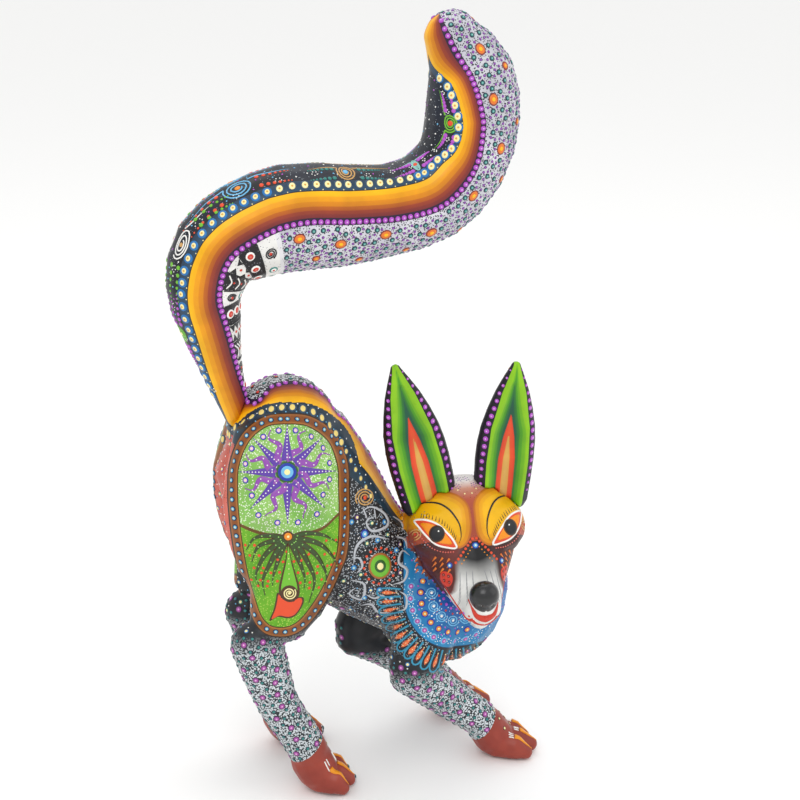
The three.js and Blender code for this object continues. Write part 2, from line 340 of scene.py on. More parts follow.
def wood():
    """Bare copal wood: pale, with fine long grain."""
    paint = Paint("bare_copal_wood", roughness=0.6, coat=0.0, specular=0.3)
    stretch = paint.node("ShaderNodeMapping", {"Scale": (1, 1, 0.12), "Vector": paint.coords})
    grain = paint.noise(900, 5, stretch.outputs["Vector"])
    return paint.finish(paint.ramp(grain, [(0.3, "C79B68"), (0.5, "DDB983"), (0.7, "E9CFA0")]))


def ink_material(name):
    """Raised paint of one colour; the colour is constant and the sheen and surface vary."""
    paint = Paint(f"ink_{name}", roughness=0.36, coat=0.2)
    paint.feed(paint.shader, {"Base Color": INK[name]})
    paint.bump(900, 0.25, 0.0001)
    return paint.material


INKS = {name: ink_material(name) for name in INK}


# ------------------------------------------------------------------ the tail

class TailPath:
    """The tail's centre line, and each point's place along it and round it."""

    def __init__(self):
        rows = catmull(TAIL_STATIONS)
        self.centre = np.column_stack([rows[:, 0] + TAIL_ROOT[0], rows[:, 1] + TAIL_ROOT[2]])
        self.radius = rows[:, 2]
        self.along = run_along(self.centre)
        self.tangent = unit(np.gradient(self.centre, axis=0))
        self.length = self.along[-1]
        self.band_places = np.array([0, 0.15, 0.4, 0.7, 0.85, 0.94, 1.0]) * self.length
        self.band_angles = np.array([78, 75, 62, 66, 60, 44, 28])

    def at(self, along):
        """Centre, forward, outward (angle 0) and radius at a length along the line, or in its domed end."""
        def pick(values):
            return np.interp(along, self.along, values)
        centre = np.array([pick(self.centre[:, 0]), TAIL_ROOT[1], pick(self.centre[:, 1])])
        forward = unit(np.array([pick(self.tangent[:, 0]), 0, pick(self.tangent[:, 1])]))
        centre += forward * max(0.0, along - self.length)
        return centre, forward, np.array([-forward[2], 0, forward[0]]), pick(self.radius)

    def band_angle(self, along):
        return np.interp(along, self.band_places, self.band_angles)

    def squeeze(self, along):
        """How much narrower the golden bands are in the bend below the tail's tip."""
        return 1 + 0.5 * smoothstep(along, 248, 285) * (1 - smoothstep(along, 318, 336))

    def measure(self, points):
        """Length along the tail and distance across its golden bands."""
        flat = points[:, [0, 2]]
        nearest = np.empty(len(points), int)
        for start in range(0, len(points), 4000):
            part = flat[start:start + 4000]
            nearest[start:start + 4000] = ((part[:, None] - self.centre[None]) ** 2).sum(2).argmin(1)
        tangent = self.tangent[nearest]
        offset = flat - self.centre[nearest]
        outward = offset[:, 1] * tangent[:, 0] - offset[:, 0] * tangent[:, 1]
        angle = np.degrees(np.arctan2(np.abs(points[:, 1] - TAIL_ROOT[1]), outward))
        along = self.along[nearest] + (offset * tangent).sum(1)
        across = np.radians(angle - self.band_angle(along)) * self.radius[nearest]
        across = np.where(across < BEAD_LINE, BEAD_LINE - (BEAD_LINE - across) * self.squeeze(along), across)
        return along, across


BEAD_LINE = 10.6  # how far in from the tail's golden line the purple beads lie, in mm
PANEL = 12.2  # length of each painted panel at the root of the tail, mm


def smoothstep(values, low, high):
    t = np.clip((values - low) / (high - low), 0, 1)
    return t * t * (3 - 2 * t)


def inside_distance(points, outline):
    """Signed distance of 2-D points to a closed outline, positive inside."""
    best = np.full(len(points), 1e9)
    inside = np.zeros(len(points), bool)
    for a, b in zip(outline, np.roll(outline, -1, axis=0)):
        edge = b - a
        t = np.clip(((points - a) @ edge) / max(edge @ edge, 1e-9), 0, 1)
        best = np.minimum(best, np.linalg.norm(points - a - t[:, None] * edge, axis=1))
        crosses = (a[1] > points[:, 1]) != (b[1] > points[:, 1])
        where = a[0] + (points[:, 1] - a[1]) / (edge[1] if abs(edge[1]) > 1e-9 else 1e-9) * edge[0]
        inside ^= crosses & (points[:, 0] < where)
    return np.where(inside, best, -best)


def closed_curve(points, per_span=8):
    """A smooth closed outline through 2-D points."""
    points = np.array(points, float)
    wrapped = np.vstack([points[-2:], points, points[:3]])
    return catmull(wrapped, per_span)[2 * per_span:-2 * per_span - 1]


# ------------------------------------------------------------------ boards to draw on

class Board:
    """A flat board in front of a skin: (across, up) in mm lands on the skin behind it."""

    def __init__(self, skin, origin, right, up, out=None, reach=70.0):
        self.skin = skin
        self.origin = np.array(origin, float)
        self.right = np.array(right, float)
        self.up = np.array(up, float)
        self.out = np.cross(self.right, self.up) if out is None else out
        self.reach = reach

    def land(self, across, up):
        start = self.origin + across * self.right + up * self.up + self.reach * self.out
        return drop(self.skin, start, -self.out)

    def flatten(self, points):
        offset = points - self.origin
        return np.column_stack([offset @ self.right, offset @ self.up])


def drop(skin, start, direction):
    place, _, index, _ = skin.tree.ray_cast(Vector(start), Vector(direction))
    if place is None:
        return None
    normal = skin.normals[skin.quads[index]].mean(0)
    return np.array(place), unit(normal)


class TailBoard:
    """The tail unrolled on one side: (length along, distance across the band) lands on its skin."""

    def __init__(self, skin, path, side):
        self.skin = skin
        self.path = path
        self.side = side

    def angle(self, along, across):
        if across < BEAD_LINE:
            across = BEAD_LINE - (BEAD_LINE - across) / self.path.squeeze(along)
        return self.path.band_angle(along) + math.degrees(across / self.path.at(along)[3])

    def curl(self, along):
        """How sharply the line bends, in radians per mm, positive where the outer side is the longer."""
        before, after = self.path.at(along - 3)[1], self.path.at(along + 3)[1]
        return (before[2] * after[0] - before[0] * after[2]) / 6

    def land(self, along, across):
        centre, _, outward, radius = self.path.at(along)
        angle = math.radians(self.angle(along, across))
        direction = math.cos(angle) * outward + math.sin(angle) * self.side * np.array([0, 1, 0])
        return drop(self.skin, centre + direction * (radius + 20), -direction)


class Patch:
    """A small board at a place on another board."""

    def __init__(self, board, centre):
        self.board = board
        self.centre = centre

    def land(self, across, up):
        return self.board.land(self.centre[0] + across, self.centre[1] + up)


# ------------------------------------------------------------------ raised paint

class Taken:
    """Where paint already lies, so that scattered dots keep clear of it."""

    CELL = 8.0

    def __init__(self):
        self.cells = {}

    def cell(self, place):
        return tuple(int(c // self.CELL) for c in place)

    def add(self, place, radius):
        self.cells.setdefault(self.cell(place), []).append((place, radius))

    def clear(self, place, radius):
        x, y, z = self.cell(place)
        for i in (x - 1, x, x + 1):
            for j in (y - 1, y, y + 1):
                for k in (z - 1, z, z + 1):
                    for other, size in self.cells.get((i, j, k), ()):
                        if math.dist(place, other) < radius + size:
                            return False
        return True


def swell(taper, share):
    """A brush stroke's width, from 0 to 1, at a share of its run."""
    if taper == "both":
        return max(0.18, math.sin(math.pi * min(max(share, 0.02), 0.98)) ** 0.6)
    if taper == "end":
        return max(0.15, 1 - share ** 1.6)
    if taper == "spike":
        return max(0.08, 1 - share)
    if taper == "drop":
        return max(0.12, math.sin(math.pi * share ** 1.7) ** 0.8) if 0 < share < 1 else 0.12
    return 1.0


class Relief:
    """Raised paint on one body, gathered into one mesh of closed drops and strokes."""

    SINK = 0.35

    def __init__(self, name, body, taken=None):
        self.name = name
        self.body = body
        self.points = []
        self.faces = []
        self.inks = []
        self.names = []
        self.taken = taken or Taken()

    def free(self, spot, radius):
        return spot is not None and self.taken.clear(tuple(spot[0]), radius)

    def shade(self, ink, count):
        if ink not in self.names:
            self.names.append(ink)
        self.inks += [self.names.index(ink)] * count

    def rings(self, rings, ink, top):
        """A closed solid of stacked rings with a point on top."""
        base, size = len(self.points), len(rings[0])
        for ring in rings:
            self.points += ring
        self.points.append(top)
        faces = [tuple(range(base + size - 1, base - 1, -1))]
        for level in range(len(rings) - 1):
            low = base + level * size
            for i in range(size):
                j = (i + 1) % size
                faces.append((low + i, low + j, low + size + j, low + size + i))
        low = base + (len(rings) - 1) * size
        faces += [(low + i, low + (i + 1) % size, low + size) for i in range(size)]
        self.faces += faces
        self.shade(ink, len(faces))

    def dot(self, spot, radius, ink, rise=None, lift=0.0, stretch=1.0, along=None, claim=True):
        """A domed drop of paint, round or drawn out along a direction."""
        if spot is None:
            return
        point, normal = spot
        rise = 0.12 + 0.3 * radius if rise is None else rise
        sides = 6 if radius < 0.9 else 8 if radius < 1.5 else 12
        guide = np.array([0.3, 0.2, 0.93] if along is None else along)
        long = unit(guide - (guide @ normal) * normal)
        wide = np.cross(normal, long)
        levels = [(-self.SINK - 0.08 * radius, 1.0), (lift + 0.5 * rise, 0.9)]
        if radius >= 0.9:
            levels.append((lift + 0.88 * rise, 0.55))
        rings = []
        for height, size in levels:
            ring = []
            for i in range(sides):
                turn = 2 * math.pi * i / sides
                flat = math.cos(turn) * stretch * long + math.sin(turn) * wide
                ring.append(point + normal * height + radius * size * flat)
            rings.append(ring)
        self.rings(rings, ink, point + normal * (lift + rise))
        if claim:
            self.taken.add(tuple(point), radius * max(1.0, stretch * 0.8))

    def ringed(self, spot, radius, outer, inner, core=None):
        """A dot in a darker ring, with an optional bright core."""
        self.dot(spot, radius, outer, rise=0.25)
        self.dot(spot, radius * 0.66, inner, rise=0.25, lift=0.2, claim=False)
        if core:
            self.dot(spot, radius * 0.3, core, rise=0.16, lift=0.42, claim=False)

    def blob(self, board, outline, ink, rise=0.3, lift=0.0):
        """A filled, domed shape inside a star-shaped outline, laid on the skin."""
        outline = np.array(outline, float)
        middle = outline.mean(0)
        rings = []
        top = lift + rise
        for size, height in ((1.0, -self.SINK), (0.97, lift + rise * 0.6), (0.85, top), (0.45, top)):
            ring = []
            for u, v in middle + (outline - middle) * size:
                spot = board.land(u, v)
                if spot is None:
                    return
                ring.append(spot[0] + spot[1] * height)
            rings.append(ring)
        spot = board.land(*middle)
        if spot is None:
            return
        turn = sum(a[0] * b[1] - b[0] * a[1] for a, b in zip(outline, np.roll(outline, -1, axis=0)))
        facing = np.cross(rings[1][1] - rings[1][0], rings[1][2] - rings[1][1]) @ spot[1]
        if turn < 0 or (facing < 0 and len(outline) < 4):
            rings = [ring[::-1] for ring in rings]
        self.rings(rings, ink, spot[0] + spot[1] * top)
        self.taken.add(tuple(spot[0]), float(np.linalg.norm(outline - middle, axis=1).mean()))

    def stroke(self, board, line, width, ink, rise=0.22, taper="both",
               closed=False, smooth=True, lift=0.0, step=1.3):
        """A brush stroke through (across, up) points; width is its full width."""
        line = [tuple(p) for p in line]
        if closed:
            line.append(line[0])
        line = np.array(line, float)
        if smooth and len(line) > 2:
            line = catmull(line, 6)
        run = run_along(line)
        count = max(3, int(run[-1] / step) + 1)
        places = np.linspace(0, run[-1], count)
        flat = np.column_stack([np.interp(places, run, line[:, 0]), np.interp(places, run, line[:, 1])])
        spots = [board.land(u, v) for u, v in flat]
        shares = np.linspace(0, 1, count)
        start = 0
        while start < count:
            end = start
            while end < count and spots[end] is not None:
                if end > start and math.dist(spots[end][0], spots[end - 1][0]) > 4 * step:
                    break
                end += 1
            if end - start >= 3:
                whole = closed and start == 0 and end == count
                self.ribbon(spots[start:end], shares[start:end], width, ink, rise, taper, whole, lift)
            start = max(end, start + 1)

    def ribbon(self, spots, shares, width, ink, rise, taper, closed, lift):
        if closed:
            spots, shares = spots[:-1], shares[:-1]
        base, count = len(self.points), len(spots)
        for i, (point, normal) in enumerate(spots):
            before = spots[i - 1 if (closed or i > 0) else 0][0]
            after = spots[(i + 1) % count if (closed or i < count - 1) else i][0]
            side = unit(np.cross(normal, after - before))
            fullness = swell(taper, shares[i])
            half = 0.5 * width * fullness
            high = lift + rise * (0.5 + 0.5 * fullness)
            for across, height in ((-1, -self.SINK), (-0.82, high), (0.82, high), (1, -self.SINK)):
                self.points.append(point + side * across * half + normal * height)
            if i % 2 == 0:
                self.taken.add(tuple(point), half + 0.3)
        faces = []
        for i in range(count if closed else count - 1):
            a, b = base + 4 * i, base + 4 * ((i + 1) % count)
            for k in range(4):
                m = (k + 1) % 4
                faces.append((a + k, a + m, b + m, b + k))
        if not closed:
            last = base + 4 * (count - 1)
            faces += [(base + 3, base + 2, base + 1, base), (last, last + 1, last + 2, last + 3)]
        self.faces += faces
        self.shade(ink, len(faces))

    def build(self):
        mesh = bpy.data.meshes.new(self.name)
        mesh.from_pydata((np.array(self.points) * MM).tolist(), [], self.faces)
        for name in self.names:
            mesh.materials.append(INKS[name])
        mesh.polygons.foreach_set("material_index", self.inks)
        work = bmesh.new()
        work.from_mesh(mesh)
        bmesh.ops.recalc_face_normals(work, faces=work.faces)
        work.to_mesh(mesh)
        work.free()
        add_piece(self.name, mesh, self.body)


# ------------------------------------------------------------------ motifs

def circle(centre, radius, count=24, start=0.0, tall=1.0):
    turns = [start + 2 * math.pi * i / count for i in range(count)]
    return [(centre[0] + radius * math.cos(t), centre[1] + radius * tall * math.sin(t)) for t in turns]


def spiral(art, board, radius, ink, core, turns=2.6, width=0.9, lift=0.0):
    """A coil of paint with a dot at its heart."""
    line = []
    steps = int(turns * 14)
    for i in range(steps + 1):
        size = radius * (0.28 + 0.72 * i / steps)
        turn = 2 * math.pi * turns * i / steps
        line.append((size * math.cos(turn), size * math.sin(turn)))
    art.stroke(board, line, width, ink, taper=None, smooth=False, step=0.9, lift=lift)
    art.dot(board.land(0, 0), radius * 0.26, core, rise=0.5, lift=lift)


def flower(art, board, radius, petals, ink="white", heart=None):
    for place in circle((0, 0), radius, petals, 0.4):
        art.dot(board.land(*place), 0.42, ink)
    if heart:
        art.dot(board.land(0, 0), 0.5, heart)


def graded(art, board, start, end, first, last, count, ink):
    """A row of dots that shrink along a line."""
    sizes = np.linspace(first, last, count)
    steps = np.concatenate([[0], np.cumsum(1.15 * (sizes[:-1] + sizes[1:]))])
    way = unit(np.subtract(end, start))
    for size, step in zip(sizes, steps):
        art.dot(board.land(*(start + way * step)), size, ink)


def scatter(art, skin, mask, gap, draw, seed, reserve):
    """Calls draw(spot, i) at random points of a masked skin that keep clear of each other and of paint."""
    order = np.flatnonzero(mask)
    np.random.default_rng(seed).shuffle(order)
    own = Taken()
    done = 0
    for i in order:
        place = tuple(skin.points[i])
        if own.clear(place, gap / 2) and art.taken.clear(place, reserve):
            own.add(place, gap / 2)
            draw((skin.points[i], skin.normals[i]), done)
            done += 1


def sprinkle(art, skin, mask, gap, radius, inks, seed, reserve):
    """Scattered dots that take their inks in turn."""
    scatter(art, skin, mask, gap, lambda spot, i: art.dot(spot, radius, inks[i % len(inks)]), seed, reserve)


# ------------------------------------------------------------------ ground paints

def tail_paint():
    paint = Paint("tail_paint_ground")
    dark = paint.mottle(30, "0A0B10", "182030")
    dark = paint.speckle(dark, "C9D2DA", 620, 0.13)
    bands = paint.ramp("across", [
        (-16, "22384E"), (-8.6, "2F4E68"), (-8.5, "15171B"), (-8.0, "15171B"), (-7.9, "FFBE00"),
        (-4.6, "FBB400"), (-4.5, "F0A200"), (-1.6, "EA9A00"), (-1.5, "DE8A04"), (1.2, "D27E08"),
        (1.3, "BC6412"), (3.6, "AE5418"), (3.7, "9A3E22"), (5.8, "8E3626"), (5.9, "84302A"),
        (8, "78292C"), (8.1, "2A1A34"), (13, "33203E"),
    ])
    pale = paint.mottle(45, "B9B9C4", "DEDEE4")
    pale = paint.speckle(pale, "26242E", 900, 0.36)
    starts = np.arange(-1, 133, PANEL)
    panels = [(start, ("EDECE8", "17161A")[number % 2]) for number, start in enumerate(starts)]
    panels = paint.ramp("along", [*panels, (132, "E4E3E6"), (140, "E4E3E6")], "CONSTANT")
    panels = paint.speckle(panels, "8A8890", 700, 0.2)
    pale = paint.mix(paint.below("along", 135.0), pale, panels)
    colour = paint.mix(paint.above("across", -15.0), dark, bands)
    colour = paint.mix(paint.above("across", 12.6), colour, pale)
    colour = paint.mix(paint.below("along", -7.0), colour, "C9A878")
    return paint.finish(paint.brushed(colour))


def figure_paint():
    paint = Paint("figure_paint_ground")
    colour = paint.mottle(28, "0F1114", "23272D")
    colour = paint.speckle(colour, "B4BAC0", 820, 0.34, paint.fade("flank", 0, 8))

    pale = paint.mottle(45, "14161A", "3A4148")
    pale = paint.speckle(pale, "D8E0E4", 980, 0.54)
    colour = paint.mix(paint.fade("pale", -9, 3), colour, pale)

    bands = paint.ramp("dorsal", [
        (0, "1A1A20"), (6.4, "24222A"), (6.5, "2A1A34"), (9.9, "2A1A34"), (10, "7A2E30"),
        (11.9, "86342C"), (12, "98402A"), (14.4, "AA541E"), (14.5, "BC6A18"), (16.9, "D27E08"),
        (17, "DE8A04"), (19.2, "EA9A00"), (19.3, "F6AC00"), (23.4, "FFBE00"), (23.5, "10141C"),
        (24, "1A3040"), (30, "1F3A4A"),
    ])
    strip = paint.speckle(bands, "D6DADE", 900, 0.5)
    bands = paint.mix(paint.below("dorsal", 6.4), bands, strip)
    on_back = paint.below("dorsal", 30.5)
    colour = paint.mix(on_back, colour, bands)
    coral = paint.mottle(50, "C2503F", "DC705E")
    coral = paint.speckle(coral, "5A1A16", 620, 0.2)
    colour = paint.mix(paint.above("rear", 0.0), colour, coral)

    upper = paint.mottle(60, "7DBB50", "9CCB6C")
    upper = paint.speckle(upper, "EDF3DE", 800, 0.33)
    lower = paint.mottle(60, "559E12", "72B820")
    lower = paint.speckle(lower, "A8CC4C", 780, 0.3)
    yolk = paint.mix(paint.above("egg_arc", 0.0), lower, upper)
    line = paint.maths("MULTIPLY", paint.above("egg_arc", -1.6), paint.below("egg_arc", 0.4))
    yolk = paint.mix(line, yolk, "6B4A18")
    rim = paint.ramp("egg", [
        (-0.6, "3A2210"), (0.2, "3A2210"), (0.3, "A5662C"), (1.5, "8A4E20"), (4.2, "8A4E20"),
        (5.4, "B8762F"), (5.5, "4A2C12"), (6.2, "4A2C12")])
    yolk = paint.mix(paint.below("egg", 6.1), yolk, rim)
    colour = paint.mix(paint.above("egg", -0.5), colour, yolk)

    blue = paint.ramp("bib", [
        (-1, "0E2C4A"), (-0.1, "0E2C4A"), (0, "1F87BE"), (9, "1A78B4"), (15, "176AAE"), (26, "1752A6")])
    blue = paint.speckle(blue, "D7ECF5", 430, 0.15)
    colour = paint.mix(paint.above("bib", -0.6), colour, blue)

    clay = paint.mottle(50, "8E3328", "A54534", 4)
    colour = paint.mix(paint.above("paw", 0.0), colour, clay)

    colour = paint.mix(paint.above("head", 0.5), colour, head_colour(paint))
    return paint.finish(paint.brushed(colour))


def head_colour(paint):
    forehead = paint.ramp("face_up", [
        (2, "A84A34"), (12, "B5543C"), (19, "C98A72"), (25, "E6E2DE"), (32, "E6E2DE")])
    forehead = paint.speckle(forehead, "7A2F22", 700, 0.16)
    cheek = paint.mottle(40, "221414", "6E2C26")
    muzzle = paint.mottle(80, "D2D2D0", "F0F0EC")
    muzzle = paint.mix(paint.fade("bridge", -21, -36), "101114", muzzle)
    bridge = paint.mix(paint.below("face_up", -13.0), forehead, muzzle)
    inner = paint.fade("muzzle", -0.8, 2.2)
    below = paint.mix(inner, cheek, bridge)
    colour = paint.mix(paint.below("face_up", -11.0), forehead, below)
    gold = paint.ramp("brow", [
        (0, "B8641C"), (1.2, "C8741A"), (1.3, "D98A12"), (3.4, "DE9210"), (3.5, "E8A20A"), (5.6, "ECA808"),
        (5.7, "F2B400"), (14, "F4BA06")])
    colour = paint.mix(paint.above("brow", 0.0), colour, gold)
    back = paint.mottle(50, "5A3A2C", "8A6248")
    back = paint.speckle(back, "1A1416", 640, 0.3)
    colour = paint.mix(paint.fade("nape", 0, 6), colour, back)
    return colour


def ear_paint():
    paint = Paint("ear_paint_ground")
    inside = paint.ramp("glow", [
        (0, "14523E"), (0.24, "17573F"), (0.27, "236B33"), (0.36, "2F7A2C"), (0.38, "459318"),
        (0.46, "4E9E1A"), (0.48, "66AE14"), (0.57, "70B614"), (0.59, "88C40E"), (0.8, "8CC812")])
    inside = paint.mix(paint.above("rho", 0.7), inside, "15101E")
    heat = paint.ramp("tongue", [
        (0, "C8371C"), (0.03, "E2431F"), (0.165, "E6562A"), (0.18, "D9A24A"), (0.5, "E2BC70")])
    inside = paint.mix(paint.above("tongue", 0.0), inside, heat)
    dark = paint.mottle(40, "0F0D16", "221A30")
    dark = paint.speckle(dark, "8A86A0", 700, 0.14)
    colour = paint.mix(paint.above("front", 0.0), dark, inside)
    return paint.finish(paint.brushed(colour))


# ------------------------------------------------------------------ where things lie on the figure

SIDES = {"right": -1, "left": 1}
HAUNCH_MIDDLE = np.array([-86.4, -41.3, 213.3])
CHEST_MIDDLE = np.array([6.3, -43.3, 120.2])
MEDIAN = 0.0  # the body's median plane along Y, in the carver's frame
BREAST_MEDIAN = -6.0
STRIP_TOP = 231.0  # height on the rump where the golden bands end and the dark strip starts
BACK_LINE = [(-76, 222), (-60, 184), (-41, 151), (-19, 130), (5, 118), (30, 118)]
BANDS_START = 8.2  # where the bands lie across the back, from the spine out, mm
BANDS_END = 23.5
VIEW_RIGHT = np.array([0.94, -0.342, 0.0])
VIEW_UP = np.array([0.111, 0.306, 0.9455])
EGG = [
    (0, 33), (14, 31), (27, 21), (33.5, 5), (34.5, -12), (34.5, -32), (33, -49), (29, -60), (24, -71),
    (18, -81), (10, -91), (2, -96), (-7, -97), (-15, -94.5), (-21, -88), (-25, -78), (-28.5, -64),
    (-31, -49), (-33, -31), (-34, -12), (-33, 5), (-26, 21), (-14, 31),
]
ARC = [(-40, -22), (-31, -28), (-15, -34.5), (0, -36.5), (18, -33), (28, -25), (40, -14)]
FEATHERS = [
    ([(-47, 53), (-41, 56.5), (-33, 52), (-31, 45), (-40, 42), (-43.5, 48), (-38, 51)], 1.9),
    ([(-45.5, 56), (-43, 49.5)], 1.3),
    ([(-39, 55.5), (-38, 49)], 1.3),
    ([(-51, 23), (-50, 31), (-47, 36), (-40, 39), (-31, 37)], 2.0),
    ([(-49.5, 17), (-46, 21), (-47.5, 26), (-51.5, 26.5)], 1.6),
    ([(-53, 13), (-45, 10), (-46.5, 0.5), (-54, 4), (-50, 8)], 1.9),
    ([(-47, -3.5), (-41, -2.8), (-37, -8), (-29.5, -8.5)], 1.9),
    ([(-44, 3.5), (-39, 1), (-34, 2.6), (-30, -3)], 1.5),
    ([(-18, 26.5), (-22.5, 29.5), (-24.5, 22.5), (-19.5, 18), (-21.5, 11.5), (-27.5, 9.5)], 2.0),
    ([(-26, 38), (-21, 36), (-19.5, 31)], 1.6),
    ([(-28, 50), (-23, 46), (-22, 41)], 1.6),
    ([(-24, 5), (-20, 2), (-20.5, -5), (-25, -7)], 1.6),
]
TENDRILS_REAR = [
    [(-10, -36.5), (-19, -38), (-24, -45)],
    [(-8, -39.5), (-17, -43), (-21, -52)],
    [(-7, -42), (-14, -49), (-19, -60), (-17, -66)],
    [(-5, -43.5), (-10, -52), (-15, -63), (-14, -72)],
    [(-3.5, -45), (-6.5, -53), (-9, -61), (-9.5, -66)],
]
TENDRILS_FRONT = [
    [(10, -35.5), (20, -37), (28, -42)],
    [(9, -39), (19, -43), (26, -52), (27, -59)],
    [(8, -42), (16, -49), (21, -60), (20, -69)],
    [(6, -43.5), (11, -53), (14.5, -64), (11, -77)],
    [(3.5, -45), (6.5, -53), (9, -62), (8.5, -68)],
]
PETAL = [
    (7.5, -73), (8.2, -77), (4, -84), (-1, -86), (-7, -85), (-12, -87.5), (-9.5, -81), (-8, -75),
    (-6.5, -70), (0, -74),
]
POD = [
    (0, -40), (1.6, -50), (4.2, -60), (6, -68), (5, -74), (0, -77), (-5, -74), (-6, -68), (-4.2, -60),
    (-1.6, -50),
]
STRIP = [
    (-41, 17), (-37.2, 20.5), (-28.7, 26.4), (-19.2, 31.8), (-8.7, 35.8), (3.6, 36.6), (14.1, 34),
    (22, 27.6), (28.3, 19), (33.2, 9.8), (37.6, 1), (42.4, -7.6), (47, -16),
]
BROW = [
    (38, 6), (34, 14), (27, 19), (17, 20), (8, 16.5), (2, 10), (0.9, 1), (1.6, -8), (4.5, -14),
    (9.5, -16.5), (14, -14), (22, -12), (30, -5), (37, -1),
]
BROW_LINE = [
    (37, 8.5), (33, 11.8), (28, 13.3), (22, 13), (16.5, 10.5), (12, 5.5), (8.6, -2), (8, -9), (9.5, -13.5),
]
EYE = [
    (32.6, 3.2), (31, -1.5), (28.4, -6.6), (25.2, -10.8), (21.4, -13.6), (16.5, -15.2), (11, -15.8),
    (13.4, -11), (16.8, -6.6), (21.9, -0.8), (27.6, 2.4),
]


def side_board(skin, side, middle, median):
    """A board that faces the side as the viewer does, mirrored for the left side."""
    sign = SIDES[side]
    mirror = np.array([1, -sign, 1])
    centre = middle.copy()
    if sign > 0:
        centre[1] = 2 * median - centre[1]
    right, up = VIEW_RIGHT * mirror, VIEW_UP * mirror
    return Board(skin, centre + CARVER, right, up, -sign * np.cross(right, up))


def face_board(skin, sign=-1):
    """A board before the face; across runs outward from the nose line, to the head's right or left."""
    tilt = math.radians(50)
    up = HEAD_AXES @ (-math.sin(tilt), 0, math.cos(tilt))
    out = HEAD_AXES @ (math.cos(tilt), 0, math.sin(tilt))
    return Board(skin, HEAD_CENTRE, HEAD_AXES @ (0, sign, 0), up, out, 110)


def bib_distance(flat):
    """Distance inside the bib's edge on the chest board: an open-topped bowl."""
    du, dv = flat[:, 0] - 10, flat[:, 1] - 3
    wide = np.where(du > 0, 62.0, 31.5)
    bowl = (1 - np.hypot(du / wide, dv / 33)) * 32
    return np.where(dv > 0, np.minimum(flat[:, 0] + 21.5, 34 - dv), bowl)


def haunch_fields(skin, carver):
    """Distance inside the egg, the same carried on round the flank, and height over the egg's arc."""
    egg = np.full(len(carver), -60.0)
    around = egg.copy()
    arc = np.zeros(len(carver))
    outline, line = closed_curve(EGG), catmull(ARC)
    for side, sign in SIDES.items():
        board = side_board(skin, side, HAUNCH_MIDDLE, MEDIAN)
        flat = board.flatten(skin.points)
        faces = (skin.normals @ board.out > 0.05) & (carver[:, 1] * sign > 6) & (carver[:, 0] < -40)
        distance = inside_distance(flat, outline)
        egg = np.where(faces, distance, egg)
        around = np.where((carver[:, 1] * sign > 0) & (carver[:, 0] < -30), distance, around)
        arc = np.where(faces, flat[:, 1] - np.interp(flat[:, 0], line[:, 0], line[:, 1]), arc)
    return egg, around, arc


def bib_field(skin, carver):
    bib = np.full(len(carver), -60.0)
    for side, sign in SIDES.items():
        board = side_board(skin, side, CHEST_MIDDLE, BREAST_MEDIAN)
        half = ((carver[:, 1] - BREAST_MEDIAN) * sign >= 0) & (carver[:, 0] > -30) & (carver[:, 2] > 60)
        bib = np.where(half, bib_distance(board.flatten(skin.points)), bib)
    return bib


def spine_distance(x, y, z):
    """Distance from the spine, measured round the back, and straight out where the rump falls away."""
    line = catmull(BACK_LINE)
    tangent = unit(np.gradient(line, axis=0))
    flat = np.column_stack([x, z])
    nearest = np.array([((line - p) ** 2).sum(1).argmin() for p in flat])
    offset = flat - line[nearest]
    outward = offset[:, 1] * tangent[nearest, 0] - offset[:, 0] * tangent[nearest, 1]
    behind = (offset * tangent[nearest]).sum(1)
    round_back = 0.72 * 36 * np.arctan2(np.abs(y), outward)
    share = smoothstep(-behind, 0, 26) * (nearest < 3)
    return share * np.abs(y) + (1 - share) * round_back


def dorsal_field(x, y, z, around, near_head):
    """Place across the golden bands, from the spine out; they fill the room between beads and egg."""
    dorsal = np.where((x > 2) | near_head, 60, spine_distance(x, y, z))
    dorsal = dorsal * (1 + 0.9 * smoothstep(x, -66, -6))
    rump = smoothstep(-x, 84, 98) * (z > 205)
    dorsal = (1 - rump) * dorsal + rump * np.clip(BANDS_END - 1.05 * (z - STRIP_TOP), 0, 60)
    on_strip = (z > STRIP_TOP - 6) | (x > -84)
    to_strip = np.where(on_strip, -6.2 - around, 60)
    room = np.minimum(to_strip, BANDS_END - dorsal)
    inside = (dorsal > BANDS_START) & (dorsal < BANDS_END) & (to_strip > 0)
    share = (dorsal - BANDS_START) / np.maximum(dorsal - BANDS_START + room, 0.01)
    dorsal = np.where(inside, BANDS_START + (BANDS_END - BANDS_START) * share, dorsal)
    return np.where((dorsal < BANDS_END) & (to_strip <= 0), 26, dorsal)


def paw_field(x, y, z):
    """Distance past the slanted edge where the red paint of a paw starts."""
    hind_paw = ((x + 80.5) - 1.33 * (z - 24.5)) * 0.6
    fore_paw = ((x - np.where(y > 5, 32.0, 38.0)) - 0.75 * (z - 16)) * 0.8
    return np.where(z < 45, np.where(x < -45, hind_paw, fore_paw), -20)


def face_fields(skin):
    board = face_board(skin)
    wide, up = board.flatten(skin.points).T
    wide = np.abs(wide)
    depth = (skin.points - board.origin) @ board.out
    half_muzzle = np.interp(up, [-60, -46, -41, -34, -24, -17, -12], [30, 22, 15, 13, 12.4, 9, 2])
    brow = inside_distance(np.column_stack([wide, up]), closed_curve(BROW))
    return {
        "head": skin.head_share, "face_up": up, "muzzle": half_muzzle - wide,
        "bridge": up + np.interp(wide, [0, 4, 8, 12], [3.5, 2.5, 0.5, -1]),
        "brow": np.where(depth < -8, -20, brow),
        "nape": np.where(head_frame(skin.points)[:, 0] < 20, -6 - depth, -20),
    }


